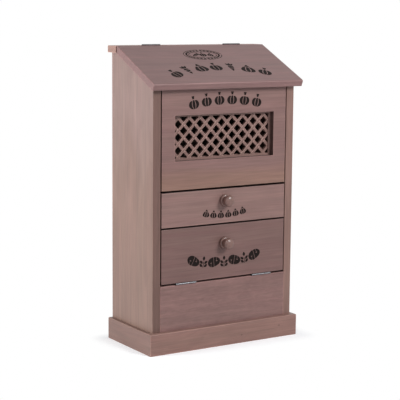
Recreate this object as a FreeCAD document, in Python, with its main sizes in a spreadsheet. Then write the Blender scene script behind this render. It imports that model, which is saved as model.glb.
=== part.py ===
import FreeCAD, Part
import math
import os
import Sketcher

# Vegetable cabinet with a sloping lid, a lattice-fronted compartment, a drawer and a tilt-out bin.
# Every piece is drawn in the cabinet's own measures: x from the middle of the width, to the right;
# y from the front face, towards the back; z from the floor up.  All in millimetres and degrees.
SIZES = [
    ("body_width", 360, "over both side boards"),
    ("body_depth", 177, "front face to back face"),
    ("overall_height", 650, "floor to the top of the rear rail"),
    ("side_thickness", 19, "side boards"),
    ("plinth_height", 47, "skirting boards, and the top of the bottom board"),
    ("plinth_thickness", 10.5, "skirting boards, how far they stand out"),
    ("plinth_round", 2, "rounding of the skirting's upper edge"),
    ("bottom_thickness", 15, "bottom board"),
    ("shelf_thickness", 12, "both shelves"),
    ("back_thickness", 4, "plywood back"),
    ("back_lap", 8, "how far the back enters each side's rebate"),
    ("back_slack", 0.5, "play of the back in its rebates, each side"),
    ("back_foot_gap", 8, "floor to the lower edge of the back"),
    ("front_thickness", 15, "lattice panel, drawer front and bin front"),
    ("front_reveal", 2.3, "gap at each end of those three fronts"),
    ("front_round", 1.2, "rounding of their outer edges"),
    ("side_round", 1.5, "rounding of the side boards' front edges"),
    ("lower_panel_thickness", 12, "fixed panel under the bin front"),
    ("lower_panel_top", 146.1, "upper edge of the fixed panel"),
    ("bin_front_height", 118, "bin front"),
    ("bin_drawer_gap", 3.2, "gap between bin front and drawer front"),
    ("drawer_front_height", 74.7, "drawer front"),
    ("drawer_panel_gap", 4.1, "gap between drawer front and lattice panel"),
    ("lid_angle", 25, "fall of the lid towards the front, in degrees"),
    ("lid_thickness", 15, "lid board"),
    ("lid_side_overhang", 10, "lid past each side board"),
    ("lid_front_overhang", 21.4, "lid past the front face"),
    ("lid_nose_round", 4, "rounding of the lid's upper front edge"),
    ("lid_edge_round", 1.5, "rounding of the lid's other edges"),
    ("lid_seat_gap", 0.5, "closed lid to the boards under it"),
    ("rail_width", 36, "rear rail, front to back"),
    ("rail_thickness", 15, "rear rail"),
    ("rail_overhang", 10.5, "rear rail past each side board"),
    ("window_stile", 32.4, "lattice panel on either side of the window"),
    ("window_sill", 61.6, "lattice panel under the window"),
    ("window_head", 60.5, "lattice panel over the window, on its face"),
    ("lattice_pitch", 27.4, "diamond to diamond along the panel"),
    ("lattice_rise", 28.1, "diamond to diamond up the panel"),
    ("lattice_strip_width", 5.8, "face width of a lattice strip"),
    ("lattice_strip_thickness", 6.4, "front to back; strips are halved where they cross"),
    ("lattice_lap", 6, "lattice past the window, all round, behind the panel"),
    ("bead_width", 12, "beads that hold the lattice's margin"),
    ("bead_thickness", 5, "the same beads"),
    ("bead_joint", 0.3, "open joint where two beads meet"),
    ("bead_reveal", 5.6, "upper and lower beads that show inside the window"),
    ("cleat_size", 13, "square battens that hold the lattice panel"),
    ("drawer_back_gap", 11, "closed drawer to the back of the cabinet"),
    ("drawer_side_height", 66, "drawer sides"),
    ("drawer_board", 9, "drawer sides and back"),
    ("drawer_bottom_thickness", 3.5, "plywood drawer bottom"),
    ("drawer_groove_depth", 4, "groove for the drawer bottom"),
    ("drawer_groove_height", 6, "under the drawer sides to their groove"),
    ("drawer_groove_slack", 0.15, "play of the bottom in its groove, each way"),
    ("drawer_lift", 1, "lower edge of the drawer front to the shelf it runs on"),
    ("drawer_run_gap", 0.4, "drawer sides over the shelf"),
    ("bin_board", 9, "cheeks, inner board and back of the bin"),
    ("bin_floor_thickness", 6, "plywood floor of the bin"),
    ("bin_side_gap", 3, "cheeks to the side boards"),
    ("bin_floor_gap", 1, "floor of the bin to the bottom board"),
    ("bin_shelf_gap", 1, "swing of the bin to the shelf over it"),
    ("bin_back_gap", 2.8, "swing of the bin to the back"),
    ("bin_stop_gap", 0.5, "closed bin front to the shelf's front edge"),
    ("bin_tilt", 40, "how far the bin tilts out, in degrees"),
    ("inner_board_lap", 25, "inner board up behind the bin front"),
    ("knob_stem_radius", 8, "stem of a knob, against the front"),
    ("knob_stem_length", 9, "front face to the knob's head"),
    ("knob_head_radius", 15.5, "broad head on that stem"),
    ("knob_head_end", 16.5, "front face to the head's own face"),
    ("knob_button_radius", 10.5, "raised middle of the head"),
    ("knob_button_edge", 20, "face to the button's edge"),
    ("knob_crown_radius", 5, "flat of the button's crown"),
    ("knob_reach", 25, "front face to the tip of the knob"),
    ("knob_drop_drawer", 25, "upper edge of the drawer front to its knob"),
    ("knob_drop_bin", 40.5, "upper edge of the bin front to its knob"),
    ("knob_screw_radius", 2, "knob screw"),
    ("knob_screw_gap", 0.2, "play of that screw in the front"),
    ("knob_screw_depth", 12, "screw inside the knob"),
    ("knob_screw_head_radius", 4, "its head"),
    ("knob_screw_head_height", 2.4, "its head"),
    ("knuckle_radius", 1.9, "hinge barrels"),
    ("hinge_pin_radius", 0.9, "hinge pins"),
    ("hinge_pin_gap", 0.05, "pin to knuckle, all round"),
    ("hinge_leaf_thickness", 1, "hinge leaves"),
    ("bin_leaf_reach", 10.5, "bin hinges, middle of the pin to the edge of a leaf"),
    ("lid_leaf_reach", 14, "lid hinges, middle of the pin to the edge of a leaf"),
    ("hinge_gap", 0.25, "between knuckles, and barrel to leaf edge"),
    ("bin_hinge_length", 50, "bin hinges"),
    ("bin_hinge_inset", 60.7, "end of the bin front to the middle of a hinge"),
    ("bin_pin_forward", 1, "pin of the bin hinges in front of the face"),
    ("lid_hinge_length", 45, "lid hinges"),
    ("lid_hinge_inset", 85.5, "end of the lid to the middle of a hinge"),
    ("lid_pin_rise", 0.9, "pin of the lid hinges above the rail's top"),
    ("back_nail_radius", 0.8, "nails of the back, driven flush"),
    ("back_nail_length", 16, "the same nails"),
    ("back_nail_margin", 40, "ends of the back to the end nails"),
]

NAILS_PER_SIDE = 3
KNUCKLES = 3
DOC = FreeCAD.newDocument("vegetable_cabinet")


class Size:
    """A number together with the expression that ties it to the sheet of sizes."""

    def __init__(self, number, text):
        self.number = float(number)
        self.text = text

    def __add__(self, other):
        other = size_of(other)
        return Size(self.number + other.number, f"({self.text} + {other.text})")

    def __sub__(self, other):
        other = size_of(other)
        return Size(self.number - other.number, f"({self.text} - {other.text})")

    def __mul__(self, other):
        other = size_of(other)
        return Size(self.number * other.number, f"({self.text} * {other.text})")

    def __truediv__(self, other):
        other = size_of(other)
        return Size(self.number / other.number, f"({self.text} / {other.text})")

    def __neg__(self):
        return Size(0, "0") - self

    def __radd__(self, other):
        return size_of(other) + self

    def __rsub__(self, other):
        return size_of(other) - self

    def __rmul__(self, other):
        return size_of(other) * self


def size_of(value):
    """A Size for a plain number, or the Size itself."""
    if isinstance(value, Size):
        return value
    return Size(value, f"({value})")


def sine(angle):
    return Size(math.sin(math.radians(angle.number)), f"sin({angle.text})")


def cosine(angle):
    return Size(math.cos(math.radians(angle.number)), f"cos({angle.text})")


def tangent(angle):
    return Size(math.tan(math.radians(angle.number)), f"tan({angle.text})")


def root(value):
    return Size(math.sqrt(value.number), f"sqrt({value.text})")


def write_sheet():
    """Puts the driving sizes into the sheet and returns them by name."""
    sheet = DOC.addObject("Spreadsheet::Sheet", "Sizes")
    found = {}
    for row, (name, number, note) in enumerate(SIZES, start=1):
        sheet.set(f"A{row}", note)
        sheet.set(f"B{row}", str(number))
        sheet.setAlias(f"B{row}", name)
        found[name] = Size(number, f"Sizes.{name}")
    DOC.recompute()
    return found


S = write_sheet()
WORKED_OUT = DOC.addObject("App::VarSet", "Places")


def place_of(name, value):
    """Keeps a worked-out size under its own name, so that later expressions stay short."""
    WORKED_OUT.addProperty("App::PropertyFloat", name, "Places")
    WORKED_OUT.setExpression(name, value.text)
    return Size(value.number, f"Places.{name}")


# Across the width.
HALF_WIDTH = place_of("half_width", S["body_width"] / 2)
HALF_INSIDE = place_of("half_inside", HALF_WIDTH - S["side_thickness"])
HALF_FRONT = place_of("half_front", HALF_INSIDE - S["front_reveal"])
HALF_BIN = place_of("half_bin", HALF_INSIDE - S["bin_side_gap"])
HALF_LID = place_of("half_lid", HALF_WIDTH + S["lid_side_overhang"])
HALF_RAIL = place_of("half_rail", HALF_WIDTH + S["rail_overhang"])
HALF_PLINTH = place_of("half_plinth", HALF_WIDTH + S["plinth_thickness"])
HALF_WINDOW = place_of("half_window", HALF_FRONT - S["window_stile"])

# Front to back.  The origin lies under the middle of the depth, knob to back.
FRONT_FACE = place_of("front_face", (S["knob_reach"] - S["body_depth"]) / 2)
BACK_INNER = place_of("back_inner", S["body_depth"] - S["back_thickness"])
RAIL_FRONT = place_of("rail_front", S["body_depth"] - S["rail_width"])
LID_REAR = place_of("lid_rear", RAIL_FRONT - 2 * S["knuckle_radius"])
LID_PIN_Y = place_of("lid_pin_y", RAIL_FRONT - S["knuckle_radius"])
DRAWER_END = place_of("drawer_end", BACK_INNER - S["drawer_back_gap"])

# Up the front.
BIN_FRONT_BOTTOM = place_of("bin_front_bottom", S["lower_panel_top"] + 2 * S["knuckle_radius"])
BIN_FRONT_TOP = place_of("bin_front_top", BIN_FRONT_BOTTOM + S["bin_front_height"])
DRAWER_BOTTOM = place_of("drawer_front_bottom", BIN_FRONT_TOP + S["bin_drawer_gap"])
DRAWER_TOP = place_of("drawer_front_top", DRAWER_BOTTOM + S["drawer_front_height"])
PANEL_BOTTOM = place_of("panel_bottom", DRAWER_TOP + S["drawer_panel_gap"])
WINDOW_BOTTOM = place_of("window_bottom", PANEL_BOTTOM + S["window_sill"])
RUNNER_SHELF_TOP = place_of("runner_shelf_top", DRAWER_BOTTOM + S["drawer_lift"])
RUNNER_SHELF_UNDER = place_of("runner_shelf_under", RUNNER_SHELF_TOP - S["shelf_thickness"])
RAIL_UNDER = place_of("rail_under", S["overall_height"] - S["rail_thickness"])
DRAWER_SIDE_BOTTOM = place_of("drawer_side_bottom", RUNNER_SHELF_TOP + S["drawer_run_gap"])
GROOVE_BOTTOM = place_of("groove_bottom", DRAWER_SIDE_BOTTOM + S["drawer_groove_height"])

# The lid falls from its rear edge at this rate, and is this thick measured plumb.
LID_RATE = place_of("lid_rate", tangent(S["lid_angle"]))
LID_PLUMB = place_of("lid_plumb", S["lid_thickness"] / cosine(S["lid_angle"]))
LID_PIN_Z = place_of("lid_pin_z", S["overall_height"] + S["lid_pin_rise"])

# The bin swings about its pins, and these are measured from them.
BIN_PIN_Z = place_of("bin_pin_z", S["lower_panel_top"] + S["knuckle_radius"])
BIN_PIN_Y = place_of("bin_pin_y", -S["bin_pin_forward"])
BIN_BASE = place_of("bin_base", S["plinth_height"] + S["bin_floor_gap"])
BIN_DROP = place_of("bin_drop", BIN_PIN_Z - BIN_BASE)
BIN_RISE = place_of("bin_rise", RUNNER_SHELF_UNDER - BIN_PIN_Z - S["bin_shelf_gap"])
BIN_NEAR = place_of("bin_near", S["front_thickness"] - BIN_PIN_Y)
BIN_SWEEP = place_of("bin_sweep", BACK_INNER - BIN_PIN_Y - S["bin_back_gap"])
BIN_FAR = place_of("bin_far", root(BIN_SWEEP * BIN_SWEEP - BIN_DROP * BIN_DROP))
BIN_BACK_TOP = place_of(
    "bin_back_top", (BIN_RISE - BIN_FAR * sine(S["bin_tilt"])) / cosine(S["bin_tilt"])
)


def lid_top_at(depth):
    """Height of the lid's upper face over a place measured from the front face."""
    return S["overall_height"] - (LID_REAR - depth) * LID_RATE


def under_lid_at(depth):
    """Height of what stands under the closed lid."""
    return lid_top_at(depth) - LID_PLUMB - S["lid_seat_gap"]


WINDOW_TOP = place_of("window_top", under_lid_at(size_of(0)) - S["window_head"])

PLANES = {
    "XY": ("XY_Plane", 0, 1, 2, 1),
    "XZ": ("XZ_Plane", 0, 2, 1, -1),
    "YZ": ("YZ_Plane", 1, 2, 0, 1),
}


def put(thing, corner):
    """Places an object by expressions; y is counted from the cabinet's front face."""
    x, y, z = corner
    thing.setExpression(".Placement.Base.x", x.text)
    thing.setExpression(".Placement.Base.y", (FRONT_FACE + y).text)
    thing.setExpression(".Placement.Base.z", z.text)


class Piece:
    """One wooden piece: a body made by pads and pockets drawn in the cabinet's measures."""

    def __init__(self, label, x, y, z):
        self.label = label
        self.corner = (size_of(x), size_of(y), size_of(z))
        self.body = DOC.addObject("PartDesign::Body", label)
        self.body.Label = label
        put(self.body, self.corner)

    def new(self, kind, what):
        return self.body.newObject(kind, f"{self.label}_{what}")

    def sketch(self, plane, start):
        """An empty sketch on one of the body's own planes, moved along its normal to start."""
        role, _across, _up, out, sign = PLANES[plane]
        feature = self.new("Sketcher::SketchObject", "sketch")
        support = next(f for f in self.body.Origin.OriginFeatures if f.Role == role)
        feature.AttachmentSupport = [(support, "")]
        feature.MapMode = "FlatFace"
        offset = sign * (size_of(start) - self.corner[out])
        feature.setExpression(".AttachmentOffset.Base.z", offset.text)
        return feature

    def local(self, plane, point):
        """A point of the cabinet as the sketch measures it."""
        _role, across, up, _out, _sign = PLANES[plane]
        return point[0] - self.corner[across], point[1] - self.corner[up]

    def extrude(self, kind, feature, plane, length):
        """Pads or pockets a sketch towards growing x, y or z, and makes sure that it did."""
        before = self.body.Shape.Volume if self.body.Tip else 0
        made = self.new(f"PartDesign::{kind}", kind.lower())
        made.Profile = feature
        made.setExpression("Length", size_of(length).text)
        made.Reversed = (PLANES[plane][4] > 0) == (kind == "Pocket")
        DOC.recompute()
        change = self.body.Shape.Volume - before
        if (change > 0) != (kind == "Pad"):
            raise RuntimeError(f"{self.label}: the {kind} changed the volume by {change:.1f}")
        return made

    def pad(self, plane, loops, start, length, arcs=None):
        feature = self.sketch(plane, start)
        for loop in loops:
            draw_loop(feature, [self.local(plane, p) for p in loop], arcs or {})
        return self.extrude("Pad", feature, plane, length)

    def pocket(self, plane, loops, start, length):
        feature = self.sketch(plane, start)
        for loop in loops:
            draw_loop(feature, [self.local(plane, p) for p in loop], {})
        return self.extrude("Pocket", feature, plane, length)

    def drill(self, plane, centres, radius, start, depth):
        """Round holes, all in one pocket."""
        feature = self.sketch(plane, start)
        for centre in centres:
            draw_circle(feature, self.local(plane, centre), radius)
        return self.extrude("Pocket", feature, plane, depth)

    def turn(self, points):
        """Turns a profile about the y axis: (radius, distance in front of the face)."""
        feature = self.sketch("XY", self.corner[2])
        draw_loop(feature, [(radius, -ahead) for radius, ahead in points], {})
        made = self.new("PartDesign::Revolution", "turning")
        made.Profile = feature
        made.ReferenceAxis = (feature, ["V_Axis"])
        made.Angle = 360
        DOC.recompute()
        return made

    def round_off(self, radius, *edges):
        """Rounds the straight edges named by (direction, {other axis: place}) pairs."""
        base = self.body.Tip
        names = []
        for direction, places in edges:
            found = [
                f"Edge{count}"
                for count, edge in enumerate(base.Shape.Edges, start=1)
                if self.lies(edge, direction, places)
            ]
            if not found:
                raise RuntimeError(f"{self.label}: no edge along {direction} at {sorted(places)}")
            names += found
        fillet = self.new("PartDesign::Fillet", "rounding")
        fillet.Base = (base, sorted(set(names)))
        fillet.setExpression("Radius", size_of(radius).text)
        DOC.recompute()
        return fillet

    def lies(self, edge, direction, places):
        """Whether an edge runs along a direction, or in the y-z plane for "slope", at the places."""
        if len(edge.Vertexes) != 2:
            return False
        first, last = (vertex.Point for vertex in edge.Vertexes)
        run = last - first
        wanted = {"x": (1, 0, 0), "y": (0, 1, 0), "z": (0, 0, 1)}
        if direction == "slope":
            if abs(run.x) > 0.01 or abs(run.y) < 0.01 or abs(run.z) < 0.01:
                return False
        elif run.cross(FreeCAD.Vector(*wanted[direction])).Length > 0.001 * run.Length:
            return False
        middle = (first + last) * 0.5
        for axis, place in places.items():
            number = "xyz".index(axis)
            local = (size_of(place) - self.corner[number]).number
            if abs(middle[number] - local) > 0.01:
                return False
        return True


def draw_loop(feature, points, arcs):
    """A closed outline whose corners are tied to expressions.

    arcs: {side: radius} makes that side of a counter-clockwise outline an arc that bulges
    outwards."""
    first = feature.GeometryCount
    spots = [FreeCAD.Vector(x.number, y.number, 0) for x, y in points]
    for side, start in enumerate(spots):
        stop = spots[(side + 1) % len(spots)]
        if side in arcs:
            feature.addGeometry(arc_between(start, stop, arcs[side].number), False)
            tie(feature, Sketcher.Constraint("Radius", first + side, arcs[side].number), arcs[side])
        else:
            feature.addGeometry(Part.LineSegment(start, stop), False)
    for side, (x, y) in enumerate(points):
        number = first + side
        before = first + (side - 1) % len(points)
        feature.addConstraint(Sketcher.Constraint("Coincident", before, 2, number, 1))
        tie(feature, Sketcher.Constraint("DistanceX", -1, 1, number, 1, x.number), x)
        tie(feature, Sketcher.Constraint("DistanceY", -1, 1, number, 1, y.number), y)


def arc_between(start, stop, radius):
    """The counter-clockwise arc from start to stop."""
    chord = stop - start
    square = FreeCAD.Vector(-chord.y, chord.x, 0).normalize()
    reach = math.sqrt(radius * radius - chord.Length * chord.Length / 4)
    centre = (start + stop) * 0.5 + square * reach
    begin = math.atan2(start.y - centre.y, start.x - centre.x)
    end = math.atan2(stop.y - centre.y, stop.x - centre.x)
    return Part.ArcOfCircle(Part.Circle(centre, FreeCAD.Vector(0, 0, 1), radius), begin, end)


def draw_circle(feature, centre, radius):
    """A circle whose middle and radius are tied to expressions."""
    x, y = centre
    spot = FreeCAD.Vector(x.number, y.number, 0)
    number = feature.addGeometry(
        Part.Circle(spot, FreeCAD.Vector(0, 0, 1), radius.number), False
    )
    tie(feature, Sketcher.Constraint("DistanceX", -1, 1, number, 3, x.number), x)
    tie(feature, Sketcher.Constraint("DistanceY", -1, 1, number, 3, y.number), y)
    tie(feature, Sketcher.Constraint("Radius", number, radius.number), radius)


def tie(feature, constraint, value):
    """Adds a dimension to a sketch and binds it."""
    number = feature.addConstraint(constraint)
    feature.setExpression(f"Constraints[{number}]", value.text)


def box_outline(left, bottom, right, top):
    """The four corners of a rectangle, counter-clockwise."""
    return [(left, bottom), (right, bottom), (right, top), (left, top)]


def board(label, low, high):
    """A plain square-edged board between two corners."""
    low = [size_of(value) for value in low]
    high = [size_of(value) for value in high]
    piece = Piece(label, *low)
    piece.pad("XY", [box_outline(low[0], low[1], high[0], high[1])], low[2], high[2] - low[2])
    return piece


# ---------------------------------------------------------------- carcass


def side_board(label, outer, inner, rebate_left):
    """A side: sloped under the lid, level under the rail, rebated for the back."""
    piece = Piece(label, outer, 0, 0)
    profile = [
        (size_of(0), size_of(0)),
        (S["body_depth"], size_of(0)),
        (S["body_depth"], RAIL_UNDER),
        (RAIL_FRONT, RAIL_UNDER),
        (RAIL_FRONT, under_lid_at(RAIL_FRONT)),
        (size_of(0), under_lid_at(size_of(0))),
    ]
    piece.pad("YZ", [profile], outer, inner - outer)
    rebate = box_outline(rebate_left, BACK_INNER, rebate_left + S["back_lap"], S["body_depth"])
    piece.pocket("XY", [rebate], 0, RAIL_UNDER)
    ends = ("z", {"x": outer, "y": 0}), ("z", {"x": inner, "y": 0})
    piece.round_off(S["side_round"], *ends)
    return piece


def build_sides():
    lap = S["back_lap"]
    side_board("left_side_board", -HALF_WIDTH, -HALF_INSIDE, -HALF_INSIDE - lap)
    side_board("right_side_board", HALF_INSIDE, HALF_WIDTH, HALF_INSIDE)


def build_shelves():
    depth = S["lower_panel_thickness"]
    low = S["plinth_height"] - S["bottom_thickness"]
    board("bottom_board", (-HALF_INSIDE, depth, low), (HALF_INSIDE, BACK_INNER, S["plinth_height"]))
    behind = S["front_thickness"] + S["bin_stop_gap"]
    board(
        "drawer_shelf",
        (-HALF_INSIDE, behind, RUNNER_SHELF_UNDER),
        (HALF_INSIDE, BACK_INNER, RUNNER_SHELF_TOP),
    )
    board(
        "onion_shelf",
        (-HALF_INSIDE, S["front_thickness"], PANEL_BOTTOM),
        (HALF_INSIDE, BACK_INNER, PANEL_BOTTOM + S["shelf_thickness"]),
    )


def build_back():
    half = HALF_INSIDE + S["back_lap"] - S["back_slack"]
    low = (-half, BACK_INNER, S["back_foot_gap"])
    high = (half, S["body_depth"], RAIL_UNDER - S["back_slack"])
    board("back_panel", low, high)


def build_rail():
    """The rail over the back, which carries the lid hinges on its front face."""
    top = S["overall_height"]
    piece = board("rear_rail", (-HALF_RAIL, RAIL_FRONT, RAIL_UNDER), (HALF_RAIL, S["body_depth"], top))
    edges = [
        ("x", {"y": S["body_depth"], "z": top}),
        ("y", {"x": -HALF_RAIL, "z": top}),
        ("y", {"x": HALF_RAIL, "z": top}),
    ]
    piece.round_off(S["lid_edge_round"], *edges)


def build_lower_panel():
    """Fixed panel between the sides; the bin's hinges lie on its upper edge."""
    low = S["plinth_height"] - S["bottom_thickness"]
    piece = board(
        "lower_front_panel",
        (-HALF_INSIDE, 0, low),
        (HALF_INSIDE, S["lower_panel_thickness"], S["lower_panel_top"]),
    )
    piece.round_off(S["front_round"], ("x", {"y": 0, "z": S["lower_panel_top"]}))


def build_plinth():
    """Skirting round the front and both sides, mitred at the two front corners."""
    outer = -S["plinth_thickness"]
    height = S["plinth_height"]
    front = Piece("plinth_front", -HALF_PLINTH, outer, 0)
    trapezoid = [
        (-HALF_PLINTH, outer),
        (HALF_PLINTH, outer),
        (HALF_WIDTH, size_of(0)),
        (-HALF_WIDTH, size_of(0)),
    ]
    front.pad("XY", [trapezoid], 0, height)
    front.round_off(S["plinth_round"], ("x", {"y": outer, "z": height}))
    for label, near, far in (
        ("plinth_left", -HALF_WIDTH, -HALF_PLINTH),
        ("plinth_right", HALF_WIDTH, HALF_PLINTH),
    ):
        side = Piece(label, near, outer, 0)
        corners = [(near, size_of(0)), (far, outer), (far, S["body_depth"]), (near, S["body_depth"])]
        side.pad("XY", [corners], 0, height)
        side.round_off(S["plinth_round"], ("y", {"x": far, "z": height}))


# ---------------------------------------------------------------- lattice panel


def build_onion_panel():
    """Fixed front with the window; its upper edge is planed to the lid's slope."""
    piece = Piece("onion_front_panel", -HALF_FRONT, 0, PANEL_BOTTOM)
    back = S["front_thickness"]
    profile = [
        (size_of(0), PANEL_BOTTOM),
        (back, PANEL_BOTTOM),
        (back, under_lid_at(back)),
        (size_of(0), under_lid_at(size_of(0))),
    ]
    piece.pad("YZ", [profile], -HALF_FRONT, 2 * HALF_FRONT)
    window = box_outline(-HALF_WINDOW, WINDOW_BOTTOM, HALF_WINDOW, WINDOW_TOP)
    piece.pocket("XZ", [window], 0, back)
    edges = [
        ("x", {"y": 0, "z": PANEL_BOTTOM}),
        ("z", {"x": -HALF_FRONT, "y": 0}),
        ("z", {"x": HALF_FRONT, "y": 0}),
    ]
    piece.round_off(S["front_round"], *edges)


def lattice_bars(label, lean, depth, thickness):
    """Parallel bars, a pitch apart and leaning so that they cross a rise apart, too long as yet.

    The first bar starts half a pitch off the middle, so that a diamond opening lies there."""
    pitch = S["lattice_pitch"]
    middle = (WINDOW_BOTTOM + WINDOW_TOP) / 2
    half_width = HALF_WINDOW + S["lattice_lap"]
    half_height = (WINDOW_TOP - WINDOW_BOTTOM) / 2 + S["lattice_lap"]
    bars = 2 * math.ceil((half_width.number + half_height.number) / pitch.number)
    first = pitch * (0.5 - bars / 2)
    run = half_height + S["lattice_strip_width"]
    slope = pitch.number / S["lattice_rise"].number
    half_strip = S["lattice_strip_width"] / (2 * math.hypot(1, slope))
    lift = half_strip * slope
    piece = Piece(label, -half_width, depth, middle - half_height)
    low = first - lean * run * slope
    high = first + lean * run * slope
    corners = [
        (low - lean * half_strip, middle - run + lift),
        (low + lean * half_strip, middle - run - lift),
        (high + lean * half_strip, middle + run - lift),
        (high - lean * half_strip, middle + run + lift),
    ]
    piece.pad("XZ", [corners], depth, thickness)
    pattern = piece.new("PartDesign::LinearPattern", "pattern")
    pattern.Originals = [piece.body.Tip]
    across_axis = next(f for f in piece.body.Origin.OriginFeatures if f.Role == "X_Axis")
    pattern.Direction = (across_axis, [""])
    pattern.Occurrences = bars
    pattern.setExpression("Length", (pitch * (bars - 1)).text)
    piece.body.Tip = pattern
    DOC.recompute()
    return piece.body


def lattice_layer(label, lean, notch_depth):
    """Strips leaning one way, trimmed to the lattice's outline and halved for the others."""
    start = S["front_thickness"]
    thickness = S["lattice_strip_thickness"]
    half_width = HALF_WINDOW + S["lattice_lap"]
    half_height = (WINDOW_TOP - WINDOW_BOTTOM) / 2 + S["lattice_lap"]
    outline = DOC.addObject("Part::Box", f"{label}_outline")
    outline.setExpression("Length", (2 * half_width).text)
    outline.setExpression("Width", thickness.text)
    outline.setExpression("Height", (2 * half_height).text)
    put(outline, (-half_width, start, (WINDOW_BOTTOM + WINDOW_TOP) / 2 - half_height))
    trimmed = DOC.addObject("Part::Common", f"{label}_trimmed")
    trimmed.Base = lattice_bars(f"{label}_bars", lean, start, thickness)
    trimmed.Tool = outline
    halved = DOC.addObject("Part::Cut", label)
    halved.Label = label
    halved.Base = trimmed
    halved.Tool = lattice_bars(f"{label}_notches", -lean, notch_depth, thickness / 2)
    DOC.recompute()
    return halved


def build_lattice():
    """Crossing strips behind the window, flush by cross-halving, and four beads round them."""
    back = S["front_thickness"]
    layers = [
        lattice_layer("lattice_rising_strips", 1, back + S["lattice_strip_thickness"] / 2),
        lattice_layer("lattice_falling_strips", -1, back),
    ]
    start = back + S["lattice_strip_thickness"]
    outer = HALF_WINDOW + S["bead_width"]
    low = WINDOW_BOTTOM - S["bead_width"]
    high = WINDOW_TOP + S["bead_width"]
    joint = S["bead_joint"]
    side_low = WINDOW_BOTTOM + S["bead_reveal"]
    side_high = WINDOW_TOP - S["bead_reveal"]
    beads = Piece("lattice_beads", -outer, start, low)
    loops = [
        box_outline(-outer, low, outer, side_low - joint),
        box_outline(-outer, side_high + joint, outer, high),
        box_outline(-outer, side_low, -HALF_WINDOW, side_high),
        box_outline(HALF_WINDOW, side_low, outer, side_high),
    ]
    beads.pad("XZ", loops, start, S["bead_thickness"])
    return layers


def build_cleats():
    """Battens on the side boards, behind the ends of the lattice panel."""
    start = S["front_thickness"]
    side = S["cleat_size"]
    low = PANEL_BOTTOM + S["shelf_thickness"]
    high = under_lid_at(start) - S["lid_seat_gap"]
    board("left_panel_cleat", (-HALF_INSIDE, start, low), (side - HALF_INSIDE, start + side, high))
    board("right_panel_cleat", (HALF_INSIDE - side, start, low), (HALF_INSIDE, start + side, high))


# ---------------------------------------------------------------- lid


def build_lid():
    """One board, cut plumb at the hinges and square at the front, with a rounded nose."""
    front = -S["lid_front_overhang"]
    piece = Piece("lid_board", -HALF_LID, front, lid_top_at(front) - S["lid_thickness"])
    under_front = (
        front + S["lid_thickness"] * sine(S["lid_angle"]),
        lid_top_at(front) - S["lid_thickness"] * cosine(S["lid_angle"]),
    )
    profile = [
        under_front,
        (LID_REAR, S["overall_height"] - LID_PLUMB),
        (LID_REAR, S["overall_height"]),
        (front, lid_top_at(front)),
    ]
    piece.pad("YZ", [profile], -HALF_LID, 2 * HALF_LID)
    piece.round_off(S["lid_nose_round"], ("x", {"y": front, "z": lid_top_at(front)}))
    edges = [
        ("x", {"y": under_front[0], "z": under_front[1]}),
        ("slope", {"x": -HALF_LID, "z": top_middle(front)}),
        ("slope", {"x": HALF_LID, "z": top_middle(front)}),
    ]
    piece.round_off(S["lid_edge_round"], *edges)


def top_middle(front):
    """Middle height of the lid's upper end edges, from the nose's rounding to the rear."""
    start = front + S["lid_nose_round"] * cosine(S["lid_angle"])
    return (lid_top_at(start) + S["overall_height"]) / 2


# ---------------------------------------------------------------- drawer


def build_drawer():
    """A boxed drawer: the front covers the ends of the sides, the bottom sits in grooves."""
    face = S["front_thickness"]
    end = DRAWER_END
    thick = S["drawer_board"]
    low = DRAWER_SIDE_BOTTOM
    high = low + S["drawer_side_height"]
    slack = S["drawer_groove_slack"]
    groove_low = GROOVE_BOTTOM - slack
    groove_high = GROOVE_BOTTOM + S["drawer_bottom_thickness"] + slack
    bite = S["drawer_groove_depth"]

    front = board("drawer_front", (-HALF_FRONT, 0, DRAWER_BOTTOM), (HALF_FRONT, face, DRAWER_TOP))
    groove = box_outline(face - bite, groove_low, face, groove_high)
    inner = HALF_FRONT - thick
    front.pocket("YZ", [groove], bite - HALF_FRONT, 2 * HALF_FRONT - 2 * bite)
    drill_for_knob(front, DRAWER_TOP - S["knob_drop_drawer"])
    front.round_off(S["front_round"], *front_edges(DRAWER_BOTTOM, DRAWER_TOP))

    for label, outer, groove_left in (
        ("drawer_left_side", -HALF_FRONT, -inner - bite),
        ("drawer_right_side", HALF_FRONT - thick, inner),
    ):
        side = board(label, (outer, face, low), (outer + thick, end, high))
        cut = box_outline(groove_left, groove_low, groove_left + bite, groove_high)
        side.pocket("XZ", [cut], face, end - face)
    board("drawer_back", (-inner, end - thick, groove_high), (inner, end, high))
    half = inner + bite - slack
    board(
        "drawer_bottom",
        (-half, face - bite + slack, GROOVE_BOTTOM),
        (half, end - slack, GROOVE_BOTTOM + S["drawer_bottom_thickness"]),
    )


def front_edges(low, high):
    """The four outer edges of a front, for rounding."""
    return [
        ("x", {"y": 0, "z": low}),
        ("x", {"y": 0, "z": high}),
        ("z", {"x": -HALF_FRONT, "y": 0}),
        ("z", {"x": HALF_FRONT, "y": 0}),
    ]


# ---------------------------------------------------------------- tilt-out bin


def bin_cheek(label, left):
    """A cheek, drawn from the pins: an arc clears the shelf as the bin swings.

    Behind the arc a straight slope follows, which comes up flat under the shelf when the
    bin is fully out and so stops it."""
    piece = Piece(label, left, BIN_PIN_Y + BIN_NEAR, BIN_BASE)
    bend = (BIN_RISE * sine(S["bin_tilt"]), BIN_RISE * cosine(S["bin_tilt"]))
    top = root(BIN_RISE * BIN_RISE - BIN_NEAR * BIN_NEAR)
    from_pins = [
        (BIN_NEAR, -BIN_DROP),
        (BIN_FAR, -BIN_DROP),
        (BIN_FAR, BIN_BACK_TOP),
        bend,
        (BIN_NEAR, top),
    ]
    outline = [(BIN_PIN_Y + y, BIN_PIN_Z + z) for y, z in from_pins]
    piece.pad("YZ", [outline], left, S["bin_board"], arcs={3: BIN_RISE})


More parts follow.
